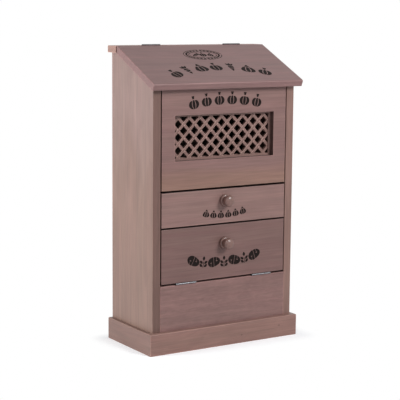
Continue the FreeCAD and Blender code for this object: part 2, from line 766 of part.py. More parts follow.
def build_bin():
    """A deep box behind the bin front, which hangs down behind the fixed panel."""
    face = S["front_thickness"]
    thick = S["bin_board"]
    front = board(
        "bin_front", (-HALF_FRONT, 0, BIN_FRONT_BOTTOM), (HALF_FRONT, face, BIN_FRONT_TOP)
    )
    drill_for_knob(front, BIN_FRONT_TOP - S["knob_drop_bin"])
    front.round_off(S["front_round"], *front_edges(BIN_FRONT_BOTTOM, BIN_FRONT_TOP))

    bin_cheek("bin_left_cheek", -HALF_BIN)
    bin_cheek("bin_right_cheek", HALF_BIN - thick)
    inner = HALF_BIN - thick
    far = BIN_PIN_Y + BIN_FAR
    board("bin_inner_board", (-inner, face, BIN_BASE),
          (inner, face + thick, BIN_FRONT_BOTTOM + S["inner_board_lap"]))
    board("bin_back", (-inner, far - thick, BIN_BASE), (inner, far, BIN_PIN_Z + BIN_BACK_TOP))
    board("bin_floor", (-inner, face + thick, BIN_BASE),
          (inner, far - thick, BIN_BASE + S["bin_floor_thickness"]))


# ---------------------------------------------------------------- knobs


def drill_for_knob(front, height):
    radius = S["knob_screw_radius"] + S["knob_screw_gap"]
    front.drill("XZ", [(size_of(0), height)], radius, 0, S["front_thickness"])


def knob(label, height):
    """A turned knob: stem, broad head, raised button, and a bore for its screw."""
    piece = Piece(label, 0, 0, height)
    bore = S["knob_screw_radius"]
    zero = size_of(0)
    profile = [
        (bore, zero),
        (S["knob_stem_radius"], zero),
        (S["knob_stem_radius"], S["knob_stem_length"]),
        (S["knob_head_radius"], S["knob_stem_length"]),
        (S["knob_head_radius"], S["knob_head_end"]),
        (S["knob_button_radius"], S["knob_head_end"]),
        (S["knob_button_radius"], S["knob_button_edge"]),
        (S["knob_crown_radius"], S["knob_reach"]),
        (zero, S["knob_reach"]),
        (zero, S["knob_screw_depth"]),
        (bore, S["knob_screw_depth"]),
    ]
    piece.turn(profile)


def knob_screw(label, height):
    """A round-headed screw through the front into the knob, its head behind the front."""
    behind = S["front_thickness"]
    shank = DOC.addObject("Part::Cylinder", f"{label}_shank")
    shank.setExpression("Radius", S["knob_screw_radius"].text)
    shank.setExpression("Height", (behind + S["knob_screw_depth"]).text)
    head = DOC.addObject("Part::Cylinder", f"{label}_head")
    head.setExpression("Radius", S["knob_screw_head_radius"].text)
    head.setExpression("Height", S["knob_screw_head_height"].text)
    head.setExpression(".Placement.Base.z", (-S["knob_screw_head_height"]).text)
    screw = DOC.addObject("Part::Fuse", label)
    screw.Label = label
    screw.Base = shank
    screw.Tool = head
    screw.Placement.Rotation = FreeCAD.Rotation(FreeCAD.Vector(1, 0, 0), 90)
    put(screw, (size_of(0), behind, height))
    return screw


def build_knobs():
    drawer_height = DRAWER_TOP - S["knob_drop_drawer"]
    bin_height = BIN_FRONT_TOP - S["knob_drop_bin"]
    knob("drawer_knob", drawer_height)
    knob("bin_knob", bin_height)
    return [knob_screw("drawer_knob_screw", drawer_height), knob_screw("bin_knob_screw", bin_height)]


# ---------------------------------------------------------------- hinges


def rod(name, radius, length, start, along=(0, 1, 0)):
    """A round rod from start, along x; the quarter turn about another axis points it elsewhere."""
    made = DOC.addObject("Part::Cylinder", name)
    made.setExpression("Radius", size_of(radius).text)
    made.setExpression("Height", size_of(length).text)
    made.Placement.Rotation = FreeCAD.Rotation(FreeCAD.Vector(*along), 90)
    for axis, value in zip("xyz", start):
        made.setExpression(f".Placement.Base.{axis}", size_of(value).text)
    return made


def block(name, low, high):
    made = DOC.addObject("Part::Box", name)
    for side, first, last in zip(("Length", "Width", "Height"), low, high):
        made.setExpression(side, (size_of(last) - first).text)
    for axis, value in zip("xyz", low):
        made.setExpression(f".Placement.Base.{axis}", size_of(value).text)
    return made


def hinge_leaf(label, length, reach, up, first_knuckle):
    """A leaf and its knuckles in the hinge's own frame: pin along x, leaf towards y.

    up is 1 for the leaf above the pin and -1 for the one below; the leaf lies flush with
    the barrel's outside.  Every second knuckle, from first_knuckle on, belongs to it."""
    barrel = S["knuckle_radius"]
    thick = S["hinge_leaf_thickness"]
    gap = S["hinge_gap"]
    low = barrel - thick if up > 0 else -barrel
    high = low + thick
    parts = [block(f"{label}_plate", (-length / 2, barrel + gap, low),
                   (length / 2, reach, high))]
    pitch = length / KNUCKLES
    for count in range(first_knuckle, KNUCKLES, 2):
        start = pitch * count - length / 2 + (gap / 2 if count else 0)
        stop = pitch * (count + 1) - length / 2 - (gap / 2 if count < KNUCKLES - 1 else 0)
        parts.append(rod(f"{label}_knuckle_{count}", barrel, stop - start, (start, 0, 0)))
        parts.append(block(f"{label}_web_{count}", (start, 0, low), (stop, barrel + 2 * gap, high)))
    solid = DOC.addObject("Part::MultiFuse", f"{label}_solid")
    solid.Shapes = parts
    leaf = DOC.addObject("Part::Cut", label)
    leaf.Label = label
    leaf.Base = solid
    leaf.Tool = rod(f"{label}_bore", S["hinge_pin_radius"] + S["hinge_pin_gap"], length,
                    (-length / 2, 0, 0))
    return leaf


def build_hinges(name, offset, pin_y, pin_z, hangs):
    """A left and a right hinge with their pins.

    hangs turns the leaves to hang down between two upright edges instead of lying between
    two level ones."""
    length = S[f"{name}_hinge_length"]
    reach = S[f"{name}_leaf_reach"]
    quarter = FreeCAD.Rotation(FreeCAD.Vector(1, 0, 0), -90 if hangs else 0)
    made = []
    for side, way in (("left", -1), ("right", 1)):
        label = f"{name}_hinge_{side}"
        still = hinge_leaf(f"{label}_fixed_leaf", length, reach, 1 if hangs else -1, 0)
        moving = hinge_leaf(f"{label}_moving_leaf", length, reach, -1 if hangs else 1, 1)
        for leaf in (still, moving):
            leaf.Placement.Rotation = quarter
            put(leaf, (way * offset, pin_y, pin_z))
        start = (way * offset - length / 2, FRONT_FACE + pin_y, pin_z)
        made += [still, moving, rod(f"{label}_pin", S["hinge_pin_radius"], length, start)]
    return made


def build_back_nails():
    """Nails through the back into both side boards, as separate solids."""
    x = HALF_INSIDE + S["back_lap"] / 2
    low = S["plinth_height"]
    high = RAIL_UNDER - S["back_nail_margin"]
    parts = []
    for side in (-1, 1):
        for count in range(NAILS_PER_SIDE):
            z = low + (high - low) * (count / (NAILS_PER_SIDE - 1))
            start = (side * x, FRONT_FACE + S["body_depth"], z)
            parts.append(rod(f"back_nail_{count}_{side + 1}", S["back_nail_radius"],
                             S["back_nail_length"], start, along=(1, 0, 0)))
    nails = DOC.addObject("Part::MultiFuse", "back_nails")
    nails.Label = "back_nails"
    nails.Shapes = parts
    return nails


# ---------------------------------------------------------------- the whole cabinet


def build_all():
    build_sides()
    build_shelves()
    build_back()
    build_rail()
    build_lower_panel()
    build_plinth()
    build_onion_panel()
    others = build_lattice()
    build_cleats()
    build_lid()
    build_drawer()
    build_bin()
    others += build_knobs()
    offset = HALF_FRONT - S["bin_hinge_inset"]
    others += build_hinges("bin", offset, BIN_PIN_Y, BIN_PIN_Z, hangs=False)
    offset = HALF_LID - S["lid_hinge_inset"]
    others += build_hinges("lid", offset, LID_PIN_Y, LID_PIN_Z, hangs=True)
    others.append(build_back_nails())
    DOC.recompute()
    bodies = [thing for thing in DOC.Objects if thing.TypeId == "PartDesign::Body"]
    return [body for body in bodies if not body.Label.endswith(("_bars", "_notches"))] + others


def check(pieces):
    """Stops unless every object was worked out and every piece is a sound shape."""
    for thing in DOC.Objects:
        if {"Invalid", "Error"} & set(thing.State):
            raise RuntimeError(f"{thing.Label} failed: {thing.State}")
    for piece in pieces:
        if piece.Shape.isNull() or not piece.Shape.isValid() or not piece.Shape.Solids:
            raise RuntimeError(f"{piece.Label} has no sound shape")


def main():
    pieces = build_all()
    check(pieces)
    os.makedirs("parts", exist_ok=True)
    for piece in pieces:
        piece.Shape.exportStep(f"parts/{piece.Label}.step")
    print(len(pieces), "pieces written")


main()
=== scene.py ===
"""Looks of a stained-wood vegetable cabinet: sloping lid, lattice front, drawer and tilting bin.

The boards, hinges and lattice are the solids of the frame and get their finish here.  Turned
knobs, stencilled ornaments and screw heads are added as surfaces of their own."""

import math

import bpy
import numpy as np
from bpy.props import FloatProperty, FloatVectorProperty, IntProperty, PointerProperty
from mathutils import Matrix, Vector


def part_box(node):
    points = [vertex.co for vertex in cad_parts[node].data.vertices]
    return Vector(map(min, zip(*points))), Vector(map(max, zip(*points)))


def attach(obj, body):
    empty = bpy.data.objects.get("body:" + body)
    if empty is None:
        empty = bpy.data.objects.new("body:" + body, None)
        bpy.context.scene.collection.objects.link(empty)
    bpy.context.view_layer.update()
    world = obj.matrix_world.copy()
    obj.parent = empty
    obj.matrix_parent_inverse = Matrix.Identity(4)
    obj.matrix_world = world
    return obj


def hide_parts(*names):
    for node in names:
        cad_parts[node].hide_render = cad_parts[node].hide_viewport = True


bl_info = {
    "name": "Vegetable cabinet",
    "version": (1, 0, 0),
    "blender": (4, 5, 0),
    "location": "3D View > Sidebar > Cabinet",
    "description": "Finishes and small parts of a stained-wood vegetable cabinet",
    "category": "Object",
}

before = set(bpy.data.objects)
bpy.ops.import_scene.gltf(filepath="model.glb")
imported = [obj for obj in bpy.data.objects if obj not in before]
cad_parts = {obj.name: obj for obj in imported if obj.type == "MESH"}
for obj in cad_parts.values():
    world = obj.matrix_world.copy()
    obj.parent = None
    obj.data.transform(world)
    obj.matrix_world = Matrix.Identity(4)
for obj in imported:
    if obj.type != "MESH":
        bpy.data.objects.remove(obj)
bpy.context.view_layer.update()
MM = 0.001


# ---------------------------------------------------------------- colours and nodes


def linear(code):
    """Linear red, green and blue of an sRGB hex code."""
    parts = [int(code[i:i + 2], 16) / 255 for i in (0, 2, 4)]
    return tuple(p / 12.92 if p <= 0.04045 else ((p + 0.055) / 1.055) ** 2.4 for p in parts)


def add(tree, kind, inputs=(), **settings):
    """Adds a node, sets its properties, and gives each input a value or a link.

    A node as a value stands for its first output."""
    node = tree.nodes.new(kind)
    for key, value in settings.items():
        setattr(node, key, value)
    for socket, value in dict(inputs).items():
        if isinstance(value, bpy.types.Node):
            value = value.outputs[0]
        if isinstance(value, bpy.types.NodeSocket):
            tree.links.new(value, node.inputs[socket])
        else:
            node.inputs[socket].default_value = value
    return node


def new_material(name):
    """An empty node material and its tree."""
    material = bpy.data.materials.new(name)
    material.use_nodes = True
    material.node_tree.nodes.clear()
    return material, material.node_tree


# ---------------------------------------------------------------- surfaces


def make_piece(name, points, faces, material, body, slot=None, smooth=True):
    """A mesh from point and face arrays, finished and riding on its body."""
    mesh = bpy.data.meshes.new(name)
    mesh.from_pydata(np.asarray(points).tolist(), [], faces)
    mesh.materials.append(material)
    mesh.validate()
    if smooth:
        mesh.shade_smooth()
    piece = bpy.data.objects.new(name, mesh)
    bpy.context.scene.collection.objects.link(piece)
    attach(piece, body)
    return piece


def grid_faces(rows, columns, start=0):
    """Quads of a grid of points stored row by row."""
    corner = np.arange(rows * columns).reshape(rows, columns)[:-1, :-1].ravel() + start
    return np.stack([corner, corner + 1, corner + columns + 1, corner + columns], axis=1)


def slab(grid, normal, thick, sunk, start=0):
    """A thin closed film over a grid of points (rows, columns, 3).

    The upper sheet is the grid moved by thick along the normal and the lower one by minus
    sunk; four strips of quads join their borders."""
    rows, columns = grid.shape[:2]
    flat = grid.reshape(-1, 3)
    points = np.concatenate([flat + normal * thick, flat - normal * sunk])
    size = rows * columns
    top = grid_faces(rows, columns)
    bottom = grid_faces(rows, columns, size)[:, ::-1]
    index = np.arange(size).reshape(rows, columns)
    border = np.concatenate([index[0, :-1], index[:-1, -1], index[-1, :0:-1], index[:0:-1, 0]])
    after = np.roll(border, -1)
    rim = np.stack([after, border, border + size, after + size], axis=1)
    return points, np.concatenate([top, bottom, rim]) + start


def turned(profile, sides=96):
    """A closed turning about the z axis.

    profile is (radius, height) from the lower pole to the upper one; every other point
    becomes a ring, and fans close the two poles."""
    profile = np.asarray(profile)
    angle = np.linspace(0, 2 * np.pi, sides, endpoint=False)
    radius, height = profile[1:-1, 0:1], profile[1:-1, 1:2]
    rings = np.stack(
        [radius * np.cos(angle), radius * np.sin(angle), height + 0 * angle], axis=-1
    ).reshape(-1, 3)
    points = np.concatenate([rings, [(0, 0, profile[0, 1]), (0, 0, profile[-1, 1])]])
    count = len(profile) - 2
    here = np.arange(sides)
    after = (here + 1) % sides
    ring = (np.arange(count - 1) * sides)[:, None]
    below, above = (ring + here, ring + after), (ring + after + sides, ring + here + sides)
    quads = np.stack([*below, *above], axis=-1)
    last = (count - 1) * sides
    first_fan = np.stack([after, here, np.full(sides, count * sides)], axis=1)
    last_fan = np.stack([last + here, last + after, np.full(sides, count * sides + 1)], axis=1)
    faces = quads.reshape(-1, 4).tolist() + first_fan.tolist() + last_fan.tolist()
    return points, faces


def stood(points, centre, out):
    """Points made about the z axis, turned so that z points out, and moved to centre."""
    out = np.asarray(out, float)
    side = np.cross(out, (0, 0, 1)) if abs(out[2]) < 0.9 else np.array([1.0, 0, 0])
    side /= np.linalg.norm(side)
    return points @ np.stack([side, np.cross(out, side), out]) + np.asarray(centre)


def arc(centre, radius, begin, end, steps):
    """Points on a circle from one angle to another, in degrees, both ends included."""
    angle = np.radians(np.linspace(begin, end, steps))
    return np.stack([np.cos(angle), np.sin(angle)], axis=1) * radius + centre


# ---------------------------------------------------------------- properties


class StainSettings(bpy.types.PropertyGroup):
    rosy: FloatVectorProperty(
        name="Rosy streaks", description="What the tone is multiplied by where the stain is redder",
        subtype="COLOR", size=3, min=0, max=2, default=(1.02, 0.995, 1.0))
    grey: FloatVectorProperty(
        name="Grey streaks", description="What the tone is multiplied by where the stain is greyer",
        subtype="COLOR", size=3, min=0, max=2, default=(0.98, 1.005, 0.99))
    streaks: FloatProperty(
        name="Streaks", description="Swing of the long streaks, finger wide",
        subtype="FACTOR", min=0, max=0.5, default=0.09)
    fibres: FloatProperty(
        name="Fibres", description="Swing of the fine fibres",
        subtype="FACTOR", min=0, max=0.5, default=0.09)
    clouds: FloatProperty(
        name="Clouds", description="Swing of the broad soft patches",
        subtype="FACTOR", min=0, max=0.5, default=0.07)
    rings: FloatProperty(
        name="Growth rings", description="How much darker the hard part of a growth ring is",
        subtype="FACTOR", min=0, max=1, default=0.07)
    # Lighter edges: rubbed wear, and a painted highlight where a rounded edge catches the light.
    wear_and_highlight: FloatProperty(
        name="Rubbed edges", description="How much lighter the edges are",
        subtype="FACTOR", min=0, max=1, default=0.3)
    roughness: FloatProperty(
        name="Roughness", description="Roughness of the satin lacquer",
        subtype="FACTOR", min=0, max=1, default=0.42)


class KnobSettings(bpy.types.PropertyGroup):
    foot_radius: FloatProperty(
        name="Foot radius", description="Radius of the round foot against the front",
        unit="LENGTH", min=0.011, max=0.0155, default=13.6 * MM)
    head_radius: FloatProperty(
        name="Head radius", description="Radius of the ball-shaped head",
        unit="LENGTH", min=0.009, max=0.0135, default=12.6 * MM)
    neck_radius: FloatProperty(
        name="Neck radius", description="Radius of the neck between foot and head",
        unit="LENGTH", min=0.004, max=0.008, default=7.6 * MM)


class StencilSettings(bpy.types.PropertyGroup):
    film: FloatProperty(
        name="Paint film", description="Thickness of the stencilled paint",
        unit="LENGTH", min=0.00002, max=0.001, default=0.12 * MM)
    paint: FloatVectorProperty(
        name="Paint", description="Colour of the stencilled paint",
        subtype="COLOR", size=3, min=0, max=1, default=linear("0e0908"))
    onions: IntProperty(
        name="Onions", description="Onions in the row over the window",
        min=1, max=9, default=6)
    bulbs: IntProperty(
        name="Garlic bulbs", description="Bulbs in the row under the drawer knob",
        min=1, max=9, default=6)
    tubers: IntProperty(
        name="Potatoes", description="Potatoes and sprigs in the row under the bin knob",
        min=1, max=9, default=7)
    mixed: IntProperty(
        name="Mixed row", description="Onions, carrots and garlic in the row on the lid",
        min=1, max=12, default=7)


class ScrewSettings(bpy.types.PropertyGroup):
    head_radius: FloatProperty(
        name="Screw head", description="Radius of the hinge screws' heads",
        unit="LENGTH", min=0.001, max=0.004, default=2.3 * MM)
    rise: FloatProperty(
        name="Rise", description="Height of a screw head over its leaf",
        unit="LENGTH", min=0.0002, max=0.0008, default=0.6 * MM)


class StageSettings(bpy.types.PropertyGroup):
    side: FloatProperty(
        name="Side light", description="Power of the large lamp on the left, in watts",
        min=0, max=500, default=46)
    front: FloatProperty(
        name="Front light", description="Power of the large lamp in front, in watts",
        min=0, max=500, default=74)
    corner: FloatProperty(
        name="Corner light", description="Power of the small lamp in front on the left, in watts",
        min=0, max=500, default=8)
    sky: FloatProperty(
        name="Room light", description="Strength of the even light from all around",
        min=0, max=3, default=0.2)


class CabinetSettings(bpy.types.PropertyGroup):
    stain: PointerProperty(type=StainSettings)
    knob: PointerProperty(type=KnobSettings)
    stencil: PointerProperty(type=StencilSettings)
    screw: PointerProperty(type=ScrewSettings)
    stage: PointerProperty(type=StageSettings)


def settings():
    """The cabinet's settings in the scene."""
    return bpy.context.scene.cabinet


# ---------------------------------------------------------------- materials

RING_MM = 7  # from one growth ring to the next


def board_box(node, tilt=(0, 0, 0)):
    """Middle and half size of a node of the frame after it is turned about x, y and z."""
    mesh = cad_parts[node].data
    points = np.empty(3 * len(mesh.vertices))
    mesh.vertices.foreach_get("co", points)
    turn = Matrix.Identity(3)
    for axis, angle in zip("XYZ", tilt):
        turn = Matrix.Rotation(math.radians(angle), 3, axis) @ turn
    points = points.reshape(-1, 3) @ np.array(turn).T
    low, high = points.min(axis=0), points.max(axis=0)
    return tuple((low + high) / 2), tuple((high - low) / 2)


def apart(tree, place, centre):
    """Distance of a place from a centre along each of x, y and z, without its sign."""
    away = add(tree, "ShaderNodeVectorMath", {0: place, 1: centre}, operation="SUBTRACT")
    return add(tree, "ShaderNodeVectorMath", {0: away}, operation="ABSOLUTE")


def nearness(tree, place, centre, reach):
    """1 at centre, falling smoothly to 0 on an oval ball whose half axes are reach."""
    away = add(tree, "ShaderNodeVectorMath", {0: place, 1: centre}, operation="SUBTRACT")
    shares = add(tree, "ShaderNodeVectorMath", {0: away, 1: reach}, operation="DIVIDE")
    length = add(tree, "ShaderNodeVectorMath", {0: shares}, operation="LENGTH").outputs["Value"]
    limits = {"Value": length, "From Min": 1.0, "From Max": 0.0}
    return add(tree, "ShaderNodeMapRange", limits, interpolation_type="SMOOTHSTEP")


def edge_distance(tree, place, centre, half):
    """Distance from a place on a box's face to the nearest edge of the box.

    Of the three distances to the box's faces the least is that to its own face, so the
    middle one is wanted: the greater of min(x, y) and min(max(x, y), z)."""
    away = apart(tree, place, centre)
    inset = add(tree, "ShaderNodeVectorMath", {0: half, 1: away}, operation="SUBTRACT")
    x, y, z = add(tree, "ShaderNodeSeparateXYZ", {0: inset}).outputs
    less = add(tree, "ShaderNodeMath", {0: x, 1: y}, operation="MINIMUM")
    more = add(tree, "ShaderNodeMath", {0: x, 1: y}, operation="MAXIMUM")
    more = add(tree, "ShaderNodeMath", {0: more, 1: z}, operation="MINIMUM")
    return add(tree, "ShaderNodeMath", {0: less, 1: more}, operation="MAXIMUM")


def window_distance(tree, place, centre, half):
    """Distance on a front face from a place beside a rectangular opening to its edge."""
    away = apart(tree, place, centre)
    away = add(tree, "ShaderNodeVectorMath", {0: away, 1: half}, operation="SUBTRACT")
    x, _, z = add(tree, "ShaderNodeSeparateXYZ", {0: away}).outputs
    return add(tree, "ShaderNodeMath", {0: x, 1: z}, operation="MAXIMUM")


def shaded_over(tree, colour, other, value, start, stop):
    """Colour that turns smoothly into another as a value goes from start to stop."""
    limits = {"Value": value, "From Min": start, "From Max": stop}
    share = add(tree, "ShaderNodeMapRange", limits, interpolation_type="SMOOTHSTEP")
    colours = {0: share, 4: colour, 5: linear(other)}
    return add(tree, "ShaderNodeMix", colours, data_type="VECTOR").outputs[1]


def stained_pine(name, box, grain, seed, tone, tilt=(0, 0, 0), fade=None, front=None,
                 sides=1.0, window=None, knots=(), curl=0.0, wear_and_highlight=1.0, sheen=0.35, coat=0.0):
    """Planed pine rubbed with a brown-mauve stain, under a thin satin lacquer.

    The eye sees long soft streaks and fine fibres along the grain, patches where the stain
    turns from rosy to grey, faint growth rings that bend round knots, and edges that are
    lighter: rubbed, and with a painted highlight where they catch the light.
    box is the board's middle and half size after the tilt, in degrees, that sets it square;
    grain is 0, 1 or 2 for x, y or z.  fade is a second tone, an axis and where along it, in
    mm, it starts and is reached.  front is the tone of the edge that faces forwards.  sides
    darkens the faces that stand in the gaps and round the window: painted shade.  window is
    the middle and half size, in metres, of an opening whose edge gets the lighter rim too.
    knots are middles and half axes in mm.  curl is the swing of the wavy figure of flat-sawn
    wood.  The last three arguments are how light the edges get, by rubbing and by a painted
    highlight, how strongly the lacquer mirrors, and how much clear polish lies over it."""
    stain = settings().stain
    material, tree = new_material(name)
    rng = np.random.default_rng(seed)
    shift = tuple(rng.uniform(-3, 3, 3))
    coords = add(tree, "ShaderNodeTexCoord").outputs
    turn = tuple(math.radians(angle) for angle in tilt)
    place, normal = [
        add(tree, "ShaderNodeVectorRotate", {"Vector": coords[what], "Rotation": turn},
            rotation_type="EULER_XYZ")
        for what in ("Object", "Normal")
    ]

    def noise(across_mm, along_mm, detail, distortion=0.0):
        scale = [1000 / across_mm] * 3
        scale[grain] = 1000 / along_mm
        inputs = {"Vector": place, "Location": shift, "Scale": scale}
        stretched = add(tree, "ShaderNodeMapping", inputs)
        inputs = {"Vector": stretched, "Scale": 1.0, "Detail": detail, "Roughness": 0.55,
                  "Distortion": distortion}
        return add(tree, "ShaderNodeTexNoise", inputs)

    # Fibres are a fraction of a millimetre wide; they are drawn 2 mm wide so that they show.
    fibre = noise(2, 70, 3)
    streak = noise(8, 260, 3)
    cloud = noise(40, 110, 2)
    wander = noise(70, 300, 1)

    # The tone: two shades of it from one end of the board to the other, and its front edge.
    colour = linear(tone)
    if fade:
        other, axis, start, stop = fade
        along = add(tree, "ShaderNodeSeparateXYZ", {0: place}).outputs[axis]
        length = abs(stop - start) * MM
        waved = add(tree, "ShaderNodeMath", {0: cloud, 1: length, 2: along},
                    operation="MULTIPLY_ADD")
        begin, end = start * MM + length / 2, stop * MM + length / 2
        colour = shaded_over(tree, colour, other, waved, begin, end)
    facing = add(tree, "ShaderNodeSeparateXYZ", {0: normal}).outputs[1]
    if front:
        colour = shaded_over(tree, colour, front, facing, -0.5, -0.9)
    limits = {"Value": noise(15, 500, 2), "From Min": 0.35, "From Max": 0.65}
    share = add(tree, "ShaderNodeMapRange", limits)
    rosy, grey = np.array(stain.rosy), np.array(stain.grey)
    hue = add(tree, "ShaderNodeVectorMath", {0: share, 1: tuple(grey - rosy), 2: tuple(rosy)},
              operation="MULTIPLY_ADD")
    colour = add(tree, "ShaderNodeVectorMath", {0: colour, 1: hue}, operation="MULTIPLY")

    # Growth rings about a pith outside the board, bent by the grain and the knots.
    slow = [1.0, 1.0, 1.0]
    slow[grain] = 0.04
    pith = tuple(rng.uniform(0.04, 0.1) * rng.choice((-1, 1)) for _ in range(3))
    from_pith = add(tree, "ShaderNodeMapping", {"Vector": place, "Location": pith, "Scale": slow})
    bent = add(tree, "ShaderNodeVectorMath", {0: from_pith}, operation="LENGTH").outputs["Value"]
    bent = add(tree, "ShaderNodeMath", {0: wander, 1: 0.06, 2: bent}, operation="MULTIPLY_ADD")
    shades = []
    for centre, reach in knots:
        centre = tuple(value * MM for value in centre)
        around = nearness(tree, place, centre, tuple(value * 4 * MM for value in reach))
        bent = add(tree, "ShaderNodeMath", {0: around, 1: 0.02, 2: bent}, operation="MULTIPLY_ADD")
        core = nearness(tree, place, centre, tuple(value * MM for value in reach))
        shades.append(({"Value": core, "To Min": 1.0, "To Max": 0.55}, {}))
    rings = add(tree, "ShaderNodeMath", {0: bent, 1: 1000 / RING_MM}, operation="MULTIPLY")
    rings = add(tree, "ShaderNodeMath", {0: fibre, 1: 0.4, 2: rings}, operation="MULTIPLY_ADD")
    rings = add(tree, "ShaderNodeMath", {0: rings}, operation="FRACT")
    late = add(tree, "ShaderNodeMath", {0: rings, 1: 2.5}, operation="POWER")
    shades.append(({"Value": late, "To Min": 1.0, "To Max": 1 - stain.rings}, {}))

    swings = [(fibre, stain.fibres), (streak, stain.streaks), (cloud, stain.clouds)]
    if curl:
        swings.append((noise(9, 32, 2, 1.6), curl))
    for pattern, swing in swings:
        shades.append(({"Value": pattern, "From Min": 0.3, "From Max": 0.7,
                        "To Min": 1 - swing, "To Max": 1 + swing}, {}))

    # Edges are a little lighter, along a line whose width wanders about 2 mm: rubbed wear, and a
    # painted highlight where a rounded edge catches the light.
    smooth = {"interpolation_type": "SMOOTHSTEP"}
    edge = edge_distance(tree, place, *box)
    if window:
        inner = window_distance(tree, place, *window)
        edge = add(tree, "ShaderNodeMath", {0: edge, 1: inner}, operation="MINIMUM")
    width = add(tree, "ShaderNodeMath", {0: streak, 1: 0.006, 2: -0.001}, operation="MULTIPLY_ADD")
    wear_and_highlight_rim = {"Value": edge, "From Min": width, "From Max": 0.4 * MM,
            "To Min": 1.0, "To Max": 1 + stain.wear_and_highlight * wear_and_highlight}
    shades.append((wear_and_highlight_rim, smooth))
    # Painted shade: faces that look neither forwards nor back, in the gaps between the fronts and
    # round the window, are darker.
    if sides != 1:
        level = add(tree, "ShaderNodeMath", {0: facing}, operation="ABSOLUTE")
        shades.append(({"Value": level, "From Min": 0.5, "From Max": 0.9,
                        "To Min": sides, "To Max": 1.0}, smooth))
    for limits, how in shades:
        shade = add(tree, "ShaderNodeMapRange", limits, **how)
        colour = add(tree, "ShaderNodeVectorMath", {0: colour, "Scale": shade}, operation="SCALE")

    rough = {"Value": fibre, "From Min": 0.3, "From Max": 0.7,
             "To Min": stain.roughness - 0.06, "To Max": stain.roughness + 0.06}
    height = add(tree, "ShaderNodeMath", {0: late, 1: 0.3, 2: fibre}, operation="MULTIPLY_ADD")
    bump = add(tree, "ShaderNodeBump", {"Height": height, "Strength": 0.12, "Distance": 0.3 * MM})
    shader = add(tree, "ShaderNodeBsdfPrincipled", {
        "Base Color": colour, "Roughness": add(tree, "ShaderNodeMapRange", rough),
        "Normal": bump, "IOR": 1.48, "Specular IOR Level": sheen,
        "Coat Weight": coat, "Coat Roughness": 0.1})
    add(tree, "ShaderNodeOutputMaterial", {"Surface": shader})
    return material


def stencil_paint(name):
    """Black spirit paint dabbed through a stencil: matt, and a little thinner in places."""
    material, tree = new_material(name)
    paint = np.array(settings().stencil.paint)
    place = add(tree, "ShaderNodeTexCoord").outputs["Object"]
    # Dabs about 2.4 mm wide.
    dabs = add(tree, "ShaderNodeTexNoise",
               {"Vector": place, "Scale": 420.0, "Detail": 4.0, "Roughness": 0.7})
    thin = add(tree, "ShaderNodeMapRange", {"Value": dabs, "From Min": 0.45, "From Max": 0.8})
    step = np.array(linear("32221d")) - paint
    colour = add(tree, "ShaderNodeVectorMath", {0: thin, 1: tuple(step), 2: tuple(paint)},
                 operation="MULTIPLY_ADD")
    rough = add(tree, "ShaderNodeMath", {0: dabs, 1: 0.3, 2: 0.55}, operation="MULTIPLY_ADD")
    shader = add(tree, "ShaderNodeBsdfPrincipled",
                 {"Base Color": colour, "Roughness": rough, "Specular IOR Level": 0.12})
    add(tree, "ShaderNodeOutputMaterial", {"Surface": shader})
    return material


def sheet_steel(name, code, roughness, scratch):
    """Pressed sheet steel: drawn lines along the leaf and dulled patches."""
    material, tree = new_material(name)
    place = add(tree, "ShaderNodeTexCoord").outputs["Object"]
    # Lines about 0.4 mm apart and 8 mm long, and patches about 4 mm wide.
    drawn = add(tree, "ShaderNodeMapping", {"Vector": place, "Scale": (120.0, 2600.0, 2600.0)})
    lines = add(tree, "ShaderNodeTexNoise", {"Vector": drawn, "Scale": 1.0, "Detail": 3.0})
    patches = add(tree, "ShaderNodeTexNoise", {"Vector": place, "Scale": 260.0, "Detail": 3.0})
    dull = add(tree, "ShaderNodeMapRange",
               {"Value": patches, "From Min": 0.35, "From Max": 0.65, "To Min": 0.7, "To Max": 1.0})
    colour = add(tree, "ShaderNodeVectorMath", {0: linear(code), "Scale": dull}, operation="SCALE")
    rough = add(tree, "ShaderNodeMath", {0: lines, 1: scratch, 2: roughness - scratch / 2},
                operation="MULTIPLY_ADD")
    bump = add(tree, "ShaderNodeBump", {"Height": lines, "Strength": 0.15, "Distance": 0.05 * MM})
    shader = add(tree, "ShaderNodeBsdfPrincipled",
                 {"Base Color": colour, "Roughness": rough, "Normal": bump, "Metallic": 1.0})
    add(tree, "ShaderNodeOutputMaterial", {"Surface": shader})
    return material


# ---------------------------------------------------------------- boards

LID_SLOPE = 25  # degrees
LEAN = 45.7  # of the lattice strips against the horizontal, in degrees
PANEL_BACK = -61  # y of the back of the panel with the window, in mm
WINDOW = ((0, 0, 0.46), (0.1263, 1, 0.0485))  # middle and half size in metres, through the panel
KNOTS = (((42, -86.5, 18), (4, 4, 3)), ((143, -86.5, 27), (4, 4, 3)))  # middle, half axes, mm

